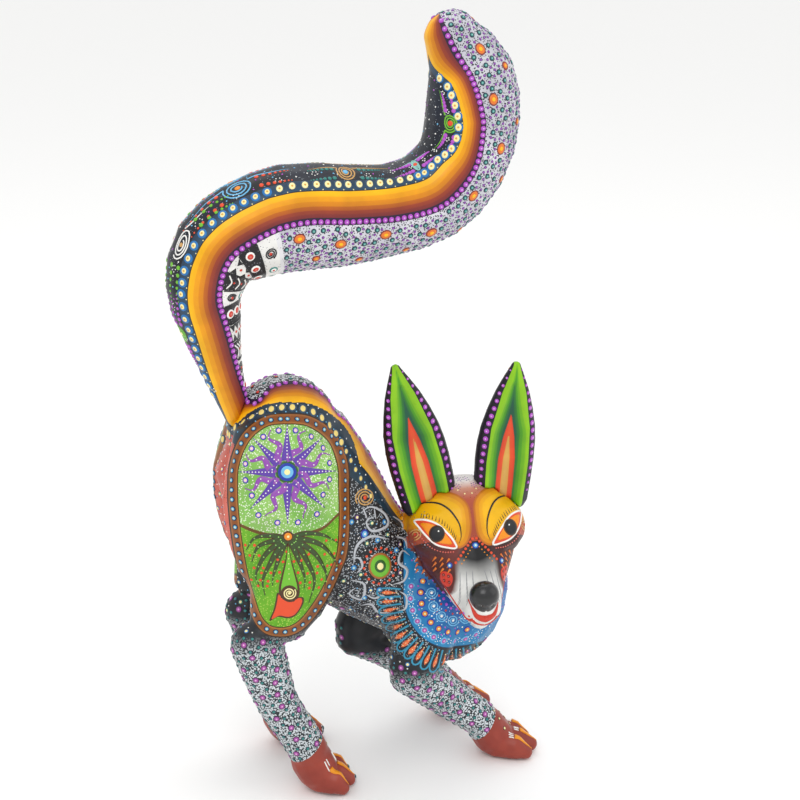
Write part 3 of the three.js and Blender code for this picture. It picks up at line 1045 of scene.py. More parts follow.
def figure_fields(skin):
    """The named numbers that the ground paint is laid by, mostly distances in mm inside an area."""
    carver = skin.points - CARVER
    x, y, z = carver.T
    near_head = skin.label == FIGURE_NODES.index("head")
    egg, around, arc = haunch_fields(skin, carver)
    dorsal = dorsal_field(x, y, z, around, near_head)
    pale = np.where(x < -45, 104 - z, np.where(z > 84, -30, 68 - z))
    skin.fields = {
        "egg": egg, "egg_arc": arc,
        "bib": np.where(near_head, -60, bib_field(skin, carver)),
        "dorsal": np.where(skin.normals[:, 2] < -0.3, 60, dorsal),
        "pale": pale - np.where(y > 5, 15, 0),
        "flank": np.minimum.reduce([x + 74, 6 - x, z - 84, 14 - y]),
        "rear": np.minimum.reduce([-92 - x, z - 150, STRIP_TOP - 5 - z, -egg - 0.7]),
        "paw": paw_field(x, y, z),
        **face_fields(skin),
    }


def ear_frame(side):
    """An ear's own axes as columns, and its seat; z runs up the ear and x out of its hollow face."""
    seat, out, back = {"right": ((-3, -21, 20), 15, -18), "left": ((-3, 23, 19), -4, -18)}[side]
    turn = HEAD_TURN
    for angle, axis in ((out, "X"), (back, "Y")):
        turn = turn @ Matrix.Rotation(math.radians(angle), 3, axis)
    return np.array(turn), HEAD_CENTRE + HEAD_AXES @ seat


EAR_HEIGHT = {"right": 92.0, "left": 87.0}
LEAF_PLACES = [-0.1, 0, 0.14, 0.28, 0.52, 0.78, 0.97, 1.05]
LEAF_WIDTHS = [17, 17, 18, 18.5, 17, 10.5, 3, 0.5]


def leaf_width(tall):
    return np.interp(tall, LEAF_PLACES, LEAF_WIDTHS)


def ear_fields(skin, side):
    turn, seat = ear_frame(side)
    local = (skin.points - seat) @ turn
    tall = local[:, 2] / EAR_HEIGHT[side]
    rho = np.abs(local[:, 1]) / leaf_width(tall)
    flame = np.interp(tall, [-0.1, 0.1, 0.3, 0.45, 0.64, 0.72], [0.3, 0.3, 0.28, 0.2, 0, -0.1]) - rho
    front = (skin.normals @ turn[:, 0]) + 0.15
    glow = np.minimum(rho + 0.9 * np.maximum(0, tall - 0.48), 0.75)
    skin.fields = {"rho": rho, "glow": glow, "tongue": flame, "front": front}


# ------------------------------------------------------------------ painting the tail

COILS = [
    (98, -20.5, 5.5, "white", "tan", "green", [(14, 6)]),
    (125, -23, 7.2, "sky", "orange", "red_orange", [(-22, 5), (24, 4)]),
    (179, -21.5, 6.6, "tan", "sky", "teal", [(-22, 3), (30, 3)]),
    (232, -20, 5.2, "pale_teal", "red_orange", "bead", [(-16, 2), (18, 3)]),
    (287, -19.5, 6.6, "green", "red_orange", "bead", [(-26, 3), (26, 4)]),
    (58, -21, 5.0, "green", "cream", "bead", [(-16, 4), (15, 4)]),
]  # place along and across, radius, three inks, then each tail's reach and bow


def decorate_tail(skin, path):
    art = Relief("tail_raised_paint", "tail")
    rng = random.Random(4)
    for side in (-1, 1):
        board = TailBoard(skin, path, side)
        decorate_tail_line(art, board)
        for coil in COILS:
            decorate_coil(art, board, *coil)
        for along in np.arange(20, path.length - 30, 17):
            across = -17.5 - rng.random() * 3
            flower(art, Patch(board, (along + rng.random() * 4, across)), 1.4, 5)
        decorate_tail_inside(art, board)
        decorate_tail_base(art, board)
    art.build()
    art = Relief("tail_stippled_paint", "tail", art.taken)
    inner = (skin.fields["across"] > 15) & (skin.fields["along"] > 136)
    rings = ("navy", "teal", "pale_teal")
    scatter(art, skin, inner, 5.4, lambda spot, i: art.ringed(spot, 1.75, *rings), 11, 1.9)
    scatter(art, skin, inner, 2.9, lambda spot, i: star(art, spot), 12, 1.0)
    dark = (skin.fields["across"] < -16) & (skin.fields["along"] > 8)
    sprinkle(art, skin, dark, 5.2, 0.55, ("white", "sky", "bead"), 13, 1.4)
    art.build()


def decorate_tail_line(art, board):
    """Purple beads inside the golden bands and ringed cream ovals outside them."""
    length = board.path.length
    for along in np.arange(5, length + 14, 3.85):
        spot = board.land(along, BEAD_LINE)
        art.dot(spot, 1.62, "bead", rise=0.9)
        art.dot(spot, 0.55, "lilac", rise=0.2, lift=0.85, claim=False)
    along = 12
    while along < length + 4:
        bend = np.clip(1 + 12 * board.curl(along), 0.75, 1.5)
        if board.angle(along, -12) > 6:
            spot = board.land(along, -12)
            middle = 140 < along < 225
            art.dot(spot, 3.0, "slate" if middle else "blue", rise=0.3)
            size = 2.0 if middle or along > 240 else 1.55
            art.dot(spot, size, "cream", rise=0.45, lift=0.2, stretch=1.15, claim=False)
            art.dot(spot, 0.8, "gold", rise=0.2, lift=0.55, claim=False)
            art.dot(board.land(along + 3.0, -8.9), 0.42, "cream")
        along += 6.5 / bend


def decorate_coil(art, board, along, across, radius, ink, core, spray, tails):
    """A coil on the tail's dark side, with swept tails and four rows of shrinking dots."""
    patch = Patch(board, (along, across))
    spiral(art, patch, radius, ink, core)
    for reach, bow in tails:
        start = (math.copysign(radius * 0.8, reach), -radius * 0.6)
        middle = (reach * 0.5, -radius * 0.75 + bow * 0.3)
        art.stroke(patch, [start, middle, (reach, -radius * 0.3)], 1.0, ink, taper="end")
    for way in (-1, 1):
        for row in (-0.35, 0.75):
            start = (way * (radius + 2.6), row * radius)
            end = (way * (radius + 15.5), row * radius + 1.5)
            graded(art, patch, start, end, 1.45, 0.5, 7, spray)


def decorate_tail_inside(art, board):
    """Amber ovals and dots among the stipple on the tail's pale side."""
    for i, along in enumerate(np.arange(146, board.path.length - 2, 26)):
        spot = board.land(along, 20 + 5 * (i % 2))
        forward = board.path.at(along)[1]
        for size, ink, lift in ((3.3, "maroon", 0), (2.7, "amber", 0.15), (1.2, "yellow", 0.4)):
            art.dot(spot, size, ink, rise=0.3, lift=lift, stretch=1.22, along=forward, claim=not lift)
        art.ringed(board.land(along + 13, 36 + 3 * (i % 2)), 2.8, "maroon", "amber", "yellow")


def star(art, spot):
    """A tiny round purple blot with a smaller, lighter purple dot on it."""
    art.dot(spot, 0.95, "purple", rise=0.25)
    art.dot(spot, 0.4, "bead", rise=0.15, lift=0.22, claim=False)


def decorate_tail_base(art, board):
    """The run of black and white panels up the inner side of the tail's first bend."""
    for i, start in enumerate(np.arange(-1, 131, PANEL)):
        middle = start + PANEL / 2
        width = math.radians(180 - board.angle(middle, 13)) * board.path.at(middle)[3]
        edge = [(start, 13.2), (start, 13 + width * 0.5), (start, 12.6 + width)]
        art.stroke(board, edge, 0.9, "black", taper=None)
        draw = (draw_arrows, draw_rings, draw_coils, draw_waves)[i % 4]
        draw(art, board, start, width)


def draw_arrows(art, board, start, width):
    middle = start + PANEL / 2
    for row in 13 + width * np.arange(0.1, 1, 0.22):
        for way in (-1, 1):
            far, near = middle + way * 5.6, middle + way * 0.8
            art.blob(board, [(far, row - 2.6), (near, row), (far, row + 2.6)], "black", rise=0.15)
        art.dot(board.land(middle, row + width * 0.11), 0.9, "red")


def draw_rings(art, board, start, width):
    for row in 13 + width * np.arange(0.12, 1, 0.26):
        art.ringed(board.land(start + PANEL / 2, row), 3.0, "white", "red", "coral")


def draw_coils(art, board, start, width):
    middle = start + PANEL / 2
    spiral(art, Patch(board, (middle, 13 + width * 0.24)), 3.9, "black", "red", turns=2.2)
    for share in (0.56, 0.84):
        art.ringed(board.land(middle, 13 + width * share), 2.8, "teal", "white", "red")


def draw_waves(art, board, start, width):
    middle = start + PANEL / 2
    for row in 13 + width * np.arange(0.1, 1, 0.2):
        bow = [(start + 1.6, row - 1.5), (middle, row + 1.5), (start + PANEL - 1.6, row - 1.5)]
        art.stroke(board, bow, 0.9, "white", taper=None)
        art.dot(board.land(middle, row + 3.3), 0.8, "red")


# ------------------------------------------------------------------ painting the figure

def stack(art, board, centre, layers, count=18, tall=1.0):
    """Round blobs of paint, one on another; layers are (radius, ink, lift)."""
    for size, ink, lift in layers:
        art.blob(board, circle(centre, size, count, 0, tall), ink, rise=0.25, lift=lift)


def polar(radius, turn, sway=0.0):
    """A point at a radius and a turn, pushed sideways by a sway."""
    return (
        radius * math.cos(turn) - sway * math.sin(turn),
        radius * math.sin(turn) + sway * math.cos(turn),
    )


def decorate_haunch(art, skin, side):
    board = side_board(skin, side, HAUNCH_MIDDLE, MEDIAN)
    decorate_rim(art, board)
    decorate_sun(art, board)
    decorate_tendrils(art, board)
    decorate_seed(art, board)
    decorate_strip(art, board)


def decorate_rim(art, board):
    """Blue dots all round the egg's brown rim."""
    outline = closed_curve(EGG, 10)
    run = run_along(outline)
    centre = outline.mean(0)
    for place in np.arange(0, run[-1], 5.7):
        spot = np.array([np.interp(place, run, outline[:, k]) for k in (0, 1)])
        art.ringed(board.land(*(spot + 3 * unit(centre - spot))), 1.85, "navy", "sky", "cream")


def decorate_sun(art, board):
    """A sun of eight straight and eight waving rays, with a dot between each two."""
    layers = [(6.4, "dark_green", 0), (5.3, "deep_blue", 0.15), (3.6, "sky", 0.3), (1.7, "cream", 0.5)]
    stack(art, board, (0, 0), layers, 20)
    for i in range(16):
        turn = math.pi * i / 8
        far = 27.0 if math.sin(turn) > -0.6 else 29.5
        wavy = i % 2
        line = [polar(radius, turn, wavy * 2.1 * math.sin((radius - 6) * 0.5))
                for radius in np.linspace(6.5, far - 1.5 * wavy, 12)]
        width, ink, taper = (4.8, "wave", "end") if wavy else (7.4, "ray", "spike")
        art.stroke(board, line, width, ink, taper=taper)
        for place in line[1:-1:1 + wavy]:
            art.dot(board.land(*place), 0.45, "white", lift=0.24, claim=False)
    for i in range(16):
        turn = math.pi * (i + 0.5) / 8
        radius = 24.0 if math.sin(turn) > -0.6 else 29.5
        art.ringed(board.land(*polar(radius, turn)), 2.0, "deep_blue", "lilac", "cream")


def decorate_tendrils(art, board):
    """Dotted tendrils that hang from a knot on the egg's arc, with red dots between them."""
    for way, arms in ((-1, TENDRILS_REAR), (1, TENDRILS_FRONT)):
        for arm in arms:
            line = [(0.6 * way, -38.5), *arm]
            art.stroke(board, line, 4.5, "bark", rise=0.18, taper="end")
            art.stroke(board, line, 3.3, "moss", rise=0.12, taper="end", lift=0.16)
            row = catmull(line, 4)
            for place in row[2:-1:2]:
                art.dot(board.land(*place), 0.5, "leaf", lift=0.28, claim=False)
            for place in row[4:-1:3]:
                for side_way in (-2.7, 2.7):
                    spot = board.land(place[0] + side_way, place[1] - 1.0)
                    if art.free(spot, 0.7):
                        art.dot(spot, 1.0, "red_orange")
    art.blob(board, circle((0, -37), 3.2, 14), "bark", rise=0.4)
    art.blob(board, circle((0, -37), 2.3, 12), "orange", rise=0.2, lift=0.4)
    art.dot(board.land(0, -37), 0.9, "cream", rise=0.3, lift=0.55, claim=False)


def decorate_seed(art, board):
    """A green seed pod with a coil in it, hanging over a red petal; both have a dark edge."""
    art.blob(board, closed_curve(PETAL, 4), "bark", rise=0.2)
    small = [(-0.6 + (u + 0.6) * 0.88, -78 + (v + 78) * 0.88) for u, v in PETAL]
    art.blob(board, closed_curve(small, 4), "red_orange", rise=0.22, lift=0.15)
    art.blob(board, closed_curve(POD, 4), "bark", rise=0.3, lift=0.15)
    small = [(u * 0.78, -61 + (v + 61) * 0.9) for u, v in POD]
    art.blob(board, closed_curve(small, 4), "green", rise=0.2, lift=0.35)
    art.blob(board, circle((0, -70.5), 4.9, 16), "bark", rise=0.2, lift=0.5)
    spiral(art, Patch(board, (0, -70.5)), 3.8, "cream", "cream", turns=2.1, width=0.8, lift=0.65)
    for v in np.arange(-62, -44, 3.0):
        art.dot(board.land(0, v), 0.4, "cream", lift=0.5, claim=False)


def decorate_strip(art, board):
    """Cream ovals in the dark strip between the golden bands and the egg."""
    line = catmull(STRIP, 12)
    run = run_along(line)
    for place in np.arange(1, run[-1], 6.0):
        u, v = (np.interp(place, run, line[:, k]) for k in (0, 1))
        size = 1.0 if place < 0.7 * run[-1] else 0.75
        spot = board.land(u, v)
        art.dot(spot, 2.7 * size, "slate", rise=0.25, stretch=1.12)
        art.dot(spot, 1.75 * size, "straw", rise=0.4, lift=0.15, stretch=1.2, claim=False)
        art.dot(board.land(u + 2.9, v + 2.0), 0.5, "white")
        art.dot(board.land(u + 2.4, v - 2.4), 0.5, "sky")


def decorate_back(art, skin):
    """Purple beads beside the spine and marks along it."""
    dorsal = skin.fields["dorsal"]
    scatter(art, skin, np.abs(dorsal - BANDS_START) < 0.9, 3.7, lambda spot, i: bead(art, spot), 21, 0.1)
    spine = dorsal < 4.5
    cores = ("red", "teal")
    scatter(art, skin, spine, 7.5, lambda spot, i: art.ringed(spot, 1.7, "black", cores[i % 2]), 22, 1.8)


def bead(art, spot):
    art.dot(spot, 1.55, "bead", rise=0.8)
    art.dot(spot, 0.55, "lilac", rise=0.2, lift=0.75, claim=False)


def decorate_flank(art, skin, side):
    """Feather scallops, a rosette and a spiral between the haunch and the shoulder."""
    board = side_board(skin, side, CHEST_MIDDLE, BREAST_MEDIAN)
    rosette = (-35.6, 21)
    petals = circle(rosette, 9.4, 18, 0.1, 1.15)
    for place in petals:
        art.dot(board.land(*place), 0.95, "red_orange")
    layers = [(7.0, "brown", 0), (5.9, "green", 0.15), (3.4, "dark_green", 0.3), (1.9, "cream", 0.4)]
    stack(art, board, rosette, layers, 18, 1.18)
    spiral(art, Patch(board, (-44.3, 62)), 5.6, "tan", "red_orange")
    art.ringed(board.land(-44.5, 40.6), 3.0, "deep_blue", "sky", "white")
    eyes = [(-37, 36.5), (-51, 20.5), (-45, 1.5), (-36, 6.5), (-29, 1), (-26, 30), (-52, 48), (-33, 47)]
    for place in eyes:
        art.ringed(board.land(*place), 1.9, "blue", "sky", "cream")
    for line, width in FEATHERS:
        art.stroke(board, line, width, "silver", rise=0.2, taper="both")
    for row in range(9):
        for column in range(7):
            place = (-56 + 7.2 * column + 3.6 * (row % 2), 60 - 8.6 * row)
            if art.free(board.land(*place), 2.6):
                flower(art, Patch(board, place), 1.9, 5, "slate", "silver")


def decorate_bib(art, skin, side):
    board = side_board(skin, side, CHEST_MIDDLE, BREAST_MEDIAN)

    def ring(share_u, share_v, degrees):
        turn = math.radians(degrees)
        return 10 + share_u * math.cos(turn), 3 + share_v * math.sin(turn)

    for degrees in np.arange(160, 306, 16.0):
        spot = board.land(*ring(21.5, 23.5, degrees))
        art.ringed(spot, 2.6, "deep_blue", "orange", "cream")
    for degrees in np.arange(170, 300, 14.0):
        art.ringed(board.land(*ring(27.6, 29.3, degrees)), 2.5, "sky", "magenta", "pink")
        flower(art, Patch(board, ring(27.6, 29.3, degrees + 7)), 1.3, 5, "white")
    for degrees in np.arange(175, 320, 29.0):
        spiral(art, Patch(board, ring(15, 16, degrees)), 3.7, "sky", "white", turns=2.0, width=0.75)
        flower(art, Patch(board, ring(15, 16, degrees + 14)), 1.7, 6, "white", "red")
    for degrees in np.arange(170, 320, 25.0):
        art.dot(board.land(*ring(8, 9, degrees)), 1.0, "bead")
        art.dot(board.land(*ring(10.5, 12, degrees + 12)), 0.8, "red")
    for degrees in np.arange(178, 296, 7.4):
        start, middle, end = (ring(31.5 * k, 33 * k, degrees) for k in (1.13, 1.27, 1.42))
        art.stroke(board, [start, middle, end], 3.0, "ember", rise=0.4, taper="drop", smooth=False)
        loop = [ring(31.5 * k, 33 * k, degrees + off) for k, off in
                ((1.06, -3.5), (1.3, -3.7), (1.46, -2.6), (1.51, 0), (1.46, 2.6), (1.3, 3.7), (1.06, 3.5))]
        art.stroke(board, loop, 1.2, "loop", rise=0.22, taper=None)
        for k in (1.14, 1.22, 1.3, 1.37):
            spot = board.land(*ring(31.5 * k, 33 * k, degrees))
            art.dot(spot, 0.38, "cream", rise=0.2, lift=0.4, claim=False)


def decorate_legs(art, skin):
    carver = skin.points - CARVER
    z = carver[:, 2]
    hind = carver[:, 0] < -45
    top = np.where(hind, 112, 80)
    lower = (skin.fields["paw"] < -1.5) & (z < top) & (z > 1) & (skin.fields["egg"] < -3)
    below = lower & ((z < 62) | hind | (np.abs(carver[:, 1] - 5) > 18))
    scatter(art, skin, below, 8.4, lambda spot, i: violet(art, spot), 31, 1.4)
    scatter(art, skin, below, 4.6, lambda spot, i: art.ringed(spot, 1.45, "navy", "teal"), 32, 1.2)


def violet(art, spot):
    art.dot(spot, 2.3, "plum", rise=0.15)
    art.dot(spot, 1.75, "magenta", rise=0.28, lift=0.08, claim=False)
    art.dot(spot, 0.75, "pink", rise=0.16, lift=0.32, claim=False)


PAWS = [(-62, -28, 17, -18), (-62, 34, 17, 0), (55, -24, 21.8, -18), (49, 35, 21.8, 0)]  # x, y, reach, turn


def decorate_paws(art, skin):
    """Claws along the toes, white ticks behind them and a shrinking row of ringed dots."""
    for ball, across, reach, turn in PAWS:
        angle = math.radians(turn)
        ahead = np.array([math.cos(angle), math.sin(angle), 0])
        aside = np.array([-math.sin(angle), math.cos(angle), 0])
        board = Board(skin, CARVER + (ball, across, 30) + reach * ahead, ahead, aside, reach=30)
        for place in (-1, 0, 1):
            short = 4 * abs(place)
            way = place * 10.6
            line = [(-short - 9.5, way * 0.97), (-short - 4, way), (-short + 1.2, way)]
            art.stroke(board, line, 3.6, "claw", rise=0.45, taper="end", smooth=False, step=0.9)
            for tick in (-1.4, 0, 1.4):
                ends = [(-short - 13.2, way * 0.93 + tick), (-short - 10.2, way * 0.95 + tick)]
                art.stroke(board, ends, 0.8, "white", taper=None, step=0.8)
            for i in range(3):
                spot = board.land(-short - 16 - 3.3 * i, way * (0.9 - 0.08 * i))
                art.ringed(spot, 1.4 - 0.25 * i, "black", "cream")


def decorate_head(art, skin):
    for sign in (-1, 1):
        board = face_board(skin, sign)
        decorate_eye(art, board)
        decorate_lids(art, board)
        decorate_cheek(art, board)
        decorate_snout(art, board)
        decorate_forehead(art, board)
        decorate_mouth(art, skin, sign)
    art.ringed(face_board(skin).land(0, -15.6), 2.2, "deep_blue", "sky", "white")
    nape = (skin.fields["nape"] > 1) & (skin.fields["head"] > 0.6)
    sprinkle(art, skin, nape, 4.2, 0.7, ("black", "cream", "red"), 41, 0.6)


def decorate_eye(art, board):
    """An almond eye: white line, red rim, amber iris and a round black pupil with a painted highlight, a
    small white glint dot.
    """
    outline = closed_curve(EYE, 5)
    art.blob(board, outline, "red_orange", rise=0.25)
    art.stroke(board, outline, 1.3, "white", rise=0.4, taper=None, closed=True, smooth=False, step=0.9)
    middle = np.mean(EYE, axis=0)
    inner = [tuple(middle + (np.array(place) - middle) * 0.76) for place in EYE]
    art.blob(board, closed_curve(inner, 5), "iris", rise=0.4, lift=0.15)
    art.blob(board, circle((22.2, -6.8), 4.5, 18, 0, 1.1), "bark", rise=0.25, lift=0.5)
    art.blob(board, circle((22.2, -6.8), 3.8, 18, 0, 1.1), "black", rise=0.35, lift=0.62)
    # painted highlight: a small white glint dot on the pupil, set up and to the left of its middle
    art.dot(board.land(21.1, -5.4), 0.6, "white", rise=0.12, lift=0.92, claim=False)


def decorate_lids(art, board):
    """The long brow line, lashes over the eye and dots under it."""
    art.stroke(board, BROW_LINE, 1.2, "black", rise=0.25, taper="both")
    row = catmull([(31, 4.2), (26, 3.2), (19.5, -0.8), (14.6, -6.5), (11.5, -12)], 8)
    for u, v in row[3:-1:2]:
        art.stroke(board, [(u, v), (u - 0.9, v + 2.8)], 0.6, "black", rise=0.15, taper="end", step=0.8)
    row = catmull([(32, -4.5), (29.4, -9.6), (25, -14.5), (19, -17.4), (13, -18)], 8)
    for u, v in row[::2]:
        art.dot(board.land(u, v), 0.55, "coral")


def decorate_cheek(art, board):
    """Rows of short amber strokes, a red seeded patch and a coil."""
    for row in range(3):
        for i in range(5):
            u, v = 15.5 + 3.4 * i, -21.5 - 3.1 * row + 1.1 * i
            art.stroke(board, [(u, v), (u + 1.8, v - 2.2)], 1.5, "amber", rise=0.25, taper="end", step=0.8)
    art.ringed(board.land(15.8, -25.5), 1.9, "deep_blue", "sky", "white")
    patch = [(15.5, -30), (19.8, -28), (20.6, -31.5), (18.8, -36), (16.4, -37.5), (14.6, -34)]
    art.blob(board, closed_curve(patch, 4), "red", rise=0.15)
    for u, v in ((16.6, -31.5), (19, -30.2), (16.4, -35), (18.6, -33.4)):
        art.dot(board.land(u, v), 1.0, "black", rise=0.2, lift=0.12, claim=False)
        art.dot(board.land(u, v), 0.5, "coral", rise=0.15, lift=0.3, claim=False)
    spiral(art, Patch(board, (33.5, -5)), 3.4, "tan", "red", turns=1.8, width=0.7)


def decorate_snout(art, board):
    """Two rows of dots down beside the black bridge, and fine grey hairs on the muzzle."""
    for i in range(8):
        art.dot(board.land(1.2 + 1.6 * i, -11.5 - 1.85 * i), 0.95, "red_orange")
    for i in range(6):
        art.dot(board.land(2.2 + 1.4 * i, -16.5 - 1.8 * i), 0.5, "orange")
    for t in np.linspace(0, 1, 8):
        for reach in (3.5, 7.0, 10.5):
            hair = [(reach + 1.5 * t, -30 - 16 * t), (reach + 2.6 * t + 0.6, -34.5 - 16 * t)]
            art.stroke(board, hair, 0.5, "grey", rise=0.1, taper="both", step=0.8)


def decorate_forehead(art, board):
    for place in ((5, 21), (13, 24), (9, 28), (20, 25), (2, 26)):
        flower(art, Patch(board, place), 1.5, 6, "purple", "bead")
    for i in range(8):
        art.dot(board.land(2.2 + 3.4 * i, 13.5 + 8.5 * math.sin(0.25 + i * 0.36)), 0.6, "cream")


def decorate_mouth(art, skin, sign):
    """Red lips with a white edge, drawn round the end of the muzzle under the nose."""
    seat = HEAD_CENTRE + HEAD_AXES @ (50, 0, -16)
    ahead, aside, up = HEAD_AXES @ (1, 0, 0), HEAD_AXES @ (0, sign, 0), HEAD_AXES @ (0, 0, 1)
    front = Board(skin, seat, aside, up, ahead, 60)
    art.stroke(front, [(-0.6, 1.8), (5, 3.4), (8.8, 9.5)], 5.0, "red", rise=0.5, taper="end")
    art.stroke(front, [(-0.6, -4.2), (4.4, -3.4), (7.8, 0)], 2.9, "red", rise=0.5, taper=None)
    art.stroke(front, [(-0.6, -6.4), (4.8, -5.6), (8.6, -2.2)], 1.1, "white", rise=0.35, taper=None)
    side = Board(skin, seat, ahead, up, aside, 60)
    lip = [(11.5, -2.6), (5, -1.2), (-3, 1), (-12, 4.5)]
    art.stroke(side, lip, 2.8, "red", rise=0.4, taper="end")
    art.stroke(side, [(u, v - 2) for u, v in lip], 1.0, "white", rise=0.25, taper="end")


def nose_piece():
    """A glossy nose with two nostrils and a groove pressed into it."""
    work = bmesh.new()
    bmesh.ops.create_uvsphere(work, u_segments=40, v_segments=28, radius=1.0)
    for vertex in work.verts:
        x, y, z = vertex.co
        press = sum(math.exp(-((y - s * 0.42) ** 2 + (z + 0.12) ** 2) / 0.035) for s in (-1, 1)) * (x > 0)
        groove = math.exp(-(y / 0.09) ** 2) * (z < 0.1) * (x > 0)
        size = 1 - 0.2 * press - 0.07 * groove
        local = (57.4 + 8.6 * x * size, 8.7 * y * size * (1 + 0.14 * z), -4.0 + 9.9 * z * size)
        vertex.co = (HEAD_CENTRE + HEAD_AXES @ local) * MM
    mesh = bpy.data.meshes.new("nose")
    work.to_mesh(mesh)
    work.free()
    paint = Paint("nose_gloss", roughness=0.2, coat=0.6)
    mesh.materials.append(paint.finish(paint.mottle(90, "08090B", "16181C")))
    add_piece("nose", mesh, "figure")


def decorate_dark(art, skin):
    """Small stars and dots over the black flanks, shoulders, breast and belly."""
    fields = skin.fields
    plain = (skin.points[:, 1] > 20) & (skin.points[:, 2] < 108) & (skin.points[:, 0] > -10)
    free = ~plain & (fields["dorsal"] > 33)
    for name, limit in (("egg", -3), ("bib", -2), ("pale", -10), ("head", 0.4), ("paw", -3)):
        free &= fields[name] < limit
    rims = ("blue", "purple", "teal")
    scatter(art, skin, free, 11.0, lambda spot, i: art.ringed(spot, 1.5, rims[i % 3], "cream"), 51, 2.0)
    sprinkle(art, skin, free, 4.6, 0.5, ("white", "white", "sky"), 52, 1.2)
    on_bib = (fields["bib"] > 2) & (fields["head"] < 0.4)
    sprinkle(art, skin, on_bib, 4.8, 0.6, ("white", "bead", "sky"), 53, 1.3)


def decorate_ear(skin, side):
    art = Relief(f"ear_{side}_raised_paint", f"ear_{side}")
    turn, seat = ear_frame(side)
    height = EAR_HEIGHT[side]
    front = Board(skin, seat, turn[:, 1], turn[:, 2], reach=40)
    back = Board(skin, seat, -turn[:, 1], turn[:, 2], reach=40)
    for way in (-1, 1):
        for i in range(17):
            tall = 0.06 + 0.88 * i / 16
            radius = 0.55 + 1.15 * math.sin(math.pi * min(1, tall / 0.95)) ** 0.8
            spot = front.land(way * leaf_width(tall) * 0.83, tall * height)
            art.dot(spot, radius, "bead", rise=0.5)
            art.dot(spot, radius * 0.35, "lilac", rise=0.15, lift=0.45, claim=False)
            spot = back.land(way * leaf_width(tall) * 0.78, tall * height)
            art.dot(spot, radius, "orange", rise=0.4)
    for i in range(6):
        tall = 0.14 + 0.12 * i
        reach = leaf_width(tall) * 0.55
        line = [(-reach, tall * height), (0, (tall + 0.09) * height), (reach, tall * height)]
        art.stroke(back, line, 1.5, ("teal", "bead", "yellow")[i % 3], taper="both")
        art.ringed(back.land(0, (tall + 0.03) * height), 1.7, "deep_blue", "sky", "white")
    sprinkle(art, skin, skin.fields["front"] < -0.3, 4.0, 0.45, ("white", "lilac"), 61, 1.0)
    art.build()


def label_nodes(skin):
    """The CAD node nearest each point, and a soft share of the head for its edge."""
    points, faces, owner = [], [], []
    for number, name in enumerate(FIGURE_NODES):
        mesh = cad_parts[name].data
        base = len(points)
        points += [tuple(v.co / MM) for v in mesh.vertices]
        faces += [tuple(base + i for i in p.vertices) for p in mesh.polygons]
        owner += [number] * len(mesh.polygons)
    tree = BVHTree.FromPolygons(points, faces)
    skin.label = np.array([owner[tree.find_nearest(Vector(p))[2]] for p in skin.points])
    share = (skin.label == FIGURE_NODES.index("head")).astype(float)
    for _ in range(6):
        share[skin.quads] = share[skin.quads].mean(1)[:, None] * 0.6 + share[skin.quads] * 0.4
    skin.head_share = share


def make_figure():
    figure = figure_skin()
    label_nodes(figure)
    figure_fields(figure)
    figure.piece("figure_skin", "figure", "trunk_paint", figure_paint(), FIGURE_NODES)
    taken = Taken()
    haunch, chest, back, legs = (
        Relief(f"{name}_raised_paint", "figure", taken) for name in ("haunch", "chest", "back", "leg"))
    for side in SIDES:
        decorate_haunch(haunch, figure, side)
        decorate_bib(chest, figure, side)
        decorate_flank(chest, figure, side)
    decorate_back(back, figure)
    decorate_paws(legs, figure)
    decorate_legs(legs, figure)
    decorate_dark(back, figure)
    face = Relief("face_raised_paint", "figure")
    decorate_head(face, figure)
    for art in (haunch, chest, back, legs, face):
        art.build()
    nose_piece()


def make_tail():
    path = TailPath()
    tail = tail_skin()
    along, across = path.measure(tail.points)
    tail.fields = {"along": along, "across": across}
    tail.piece("tail_skin", "tail", "tail_paint", tail_paint(), ["tail"])
    decorate_tail(tail, path)


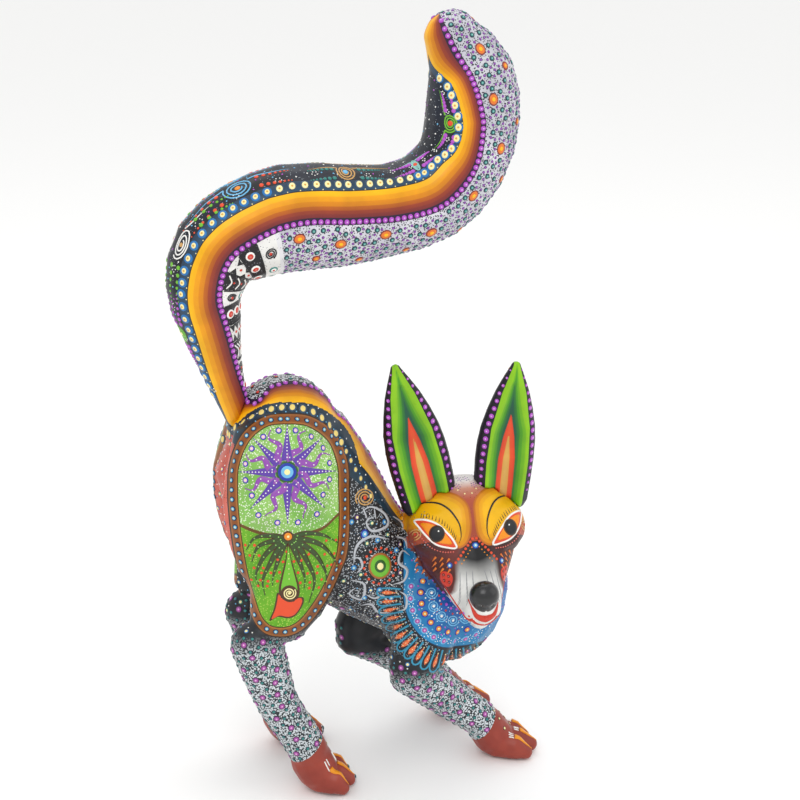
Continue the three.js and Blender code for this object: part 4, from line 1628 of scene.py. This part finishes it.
def make_ear(side):
    ear = ear_skin(side)
    ear_fields(ear, side)
    ear.piece(f"ear_{side}_skin", f"ear_{side}", "ear_paint", ear_paint(), [f"ear_{side}"])
    decorate_ear(ear, side)


# ------------------------------------------------------------------ studio

def studio():
    scene = bpy.context.scene
    size = 5.0
    floor_mesh = bpy.data.meshes.new("floor")
    edge = [(-size, -size, 0), (size, -size, 0), (size, size, 0), (-size, size, 0)]
    floor_mesh.from_pydata(edge, [], [(0, 1, 2, 3)])
    floor = add_object("floor", floor_mesh)
    floor.location.z = -0.0003
    material = bpy.data.materials.new("studio_paper")
    material.use_nodes = True
    shader = material.node_tree.nodes["Principled BSDF"]
    shader.inputs["Base Color"].default_value = (0.97, 0.97, 0.96, 1)
    shader.inputs["Roughness"].default_value = 0.85
    floor_mesh.materials.append(material)

    world = bpy.data.worlds.new("studio_air")
    world.use_nodes = True
    world.node_tree.nodes["Background"].inputs["Color"].default_value = (1, 1, 1, 1)
    world.node_tree.nodes["Background"].inputs["Strength"].default_value = 0.93
    scene.world = world
    scene.view_settings.view_transform = "Standard"

    for name, place, watts, width in (
        ("key", (-0.55, -1.1, 1.35), 6.5, 0.9),
        ("fill", (1.2, -0.7, 0.8), 2, 1.1),
        ("top", (0.1, 0.5, 1.5), 4, 1.2),
    ):
        light = bpy.data.lights.new(name, "AREA")
        light.energy = watts
        light.size = width
        made = add_object(name, light)
        made.location = place
        made.rotation_euler = (Vector((0, 0, 0.2)) - Vector(place)).to_track_quat("-Z", "Y").to_euler()

    turn, rise, away = math.radians(-20), math.radians(19), 1.2
    target = Vector((0.0323, 0.0264, 0.23))
    camera = add_object("camera", bpy.data.cameras.new("camera"))
    camera.data.lens = 90
    camera.data.sensor_width = 36
    camera.location = target + away * Vector((
        math.sin(turn) * math.cos(rise), -math.cos(turn) * math.cos(rise), math.sin(rise)))
    camera.rotation_euler = (target - camera.location).to_track_quat("-Z", "Y").to_euler()
    scene.camera = camera


studio()
make_figure()
make_tail()
for ear_side in SIDES:
    make_ear(ear_side)
copal = wood()
for node in DOWEL_NODES:
    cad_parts[node].data.materials.clear()
    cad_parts[node].data.materials.append(copal)
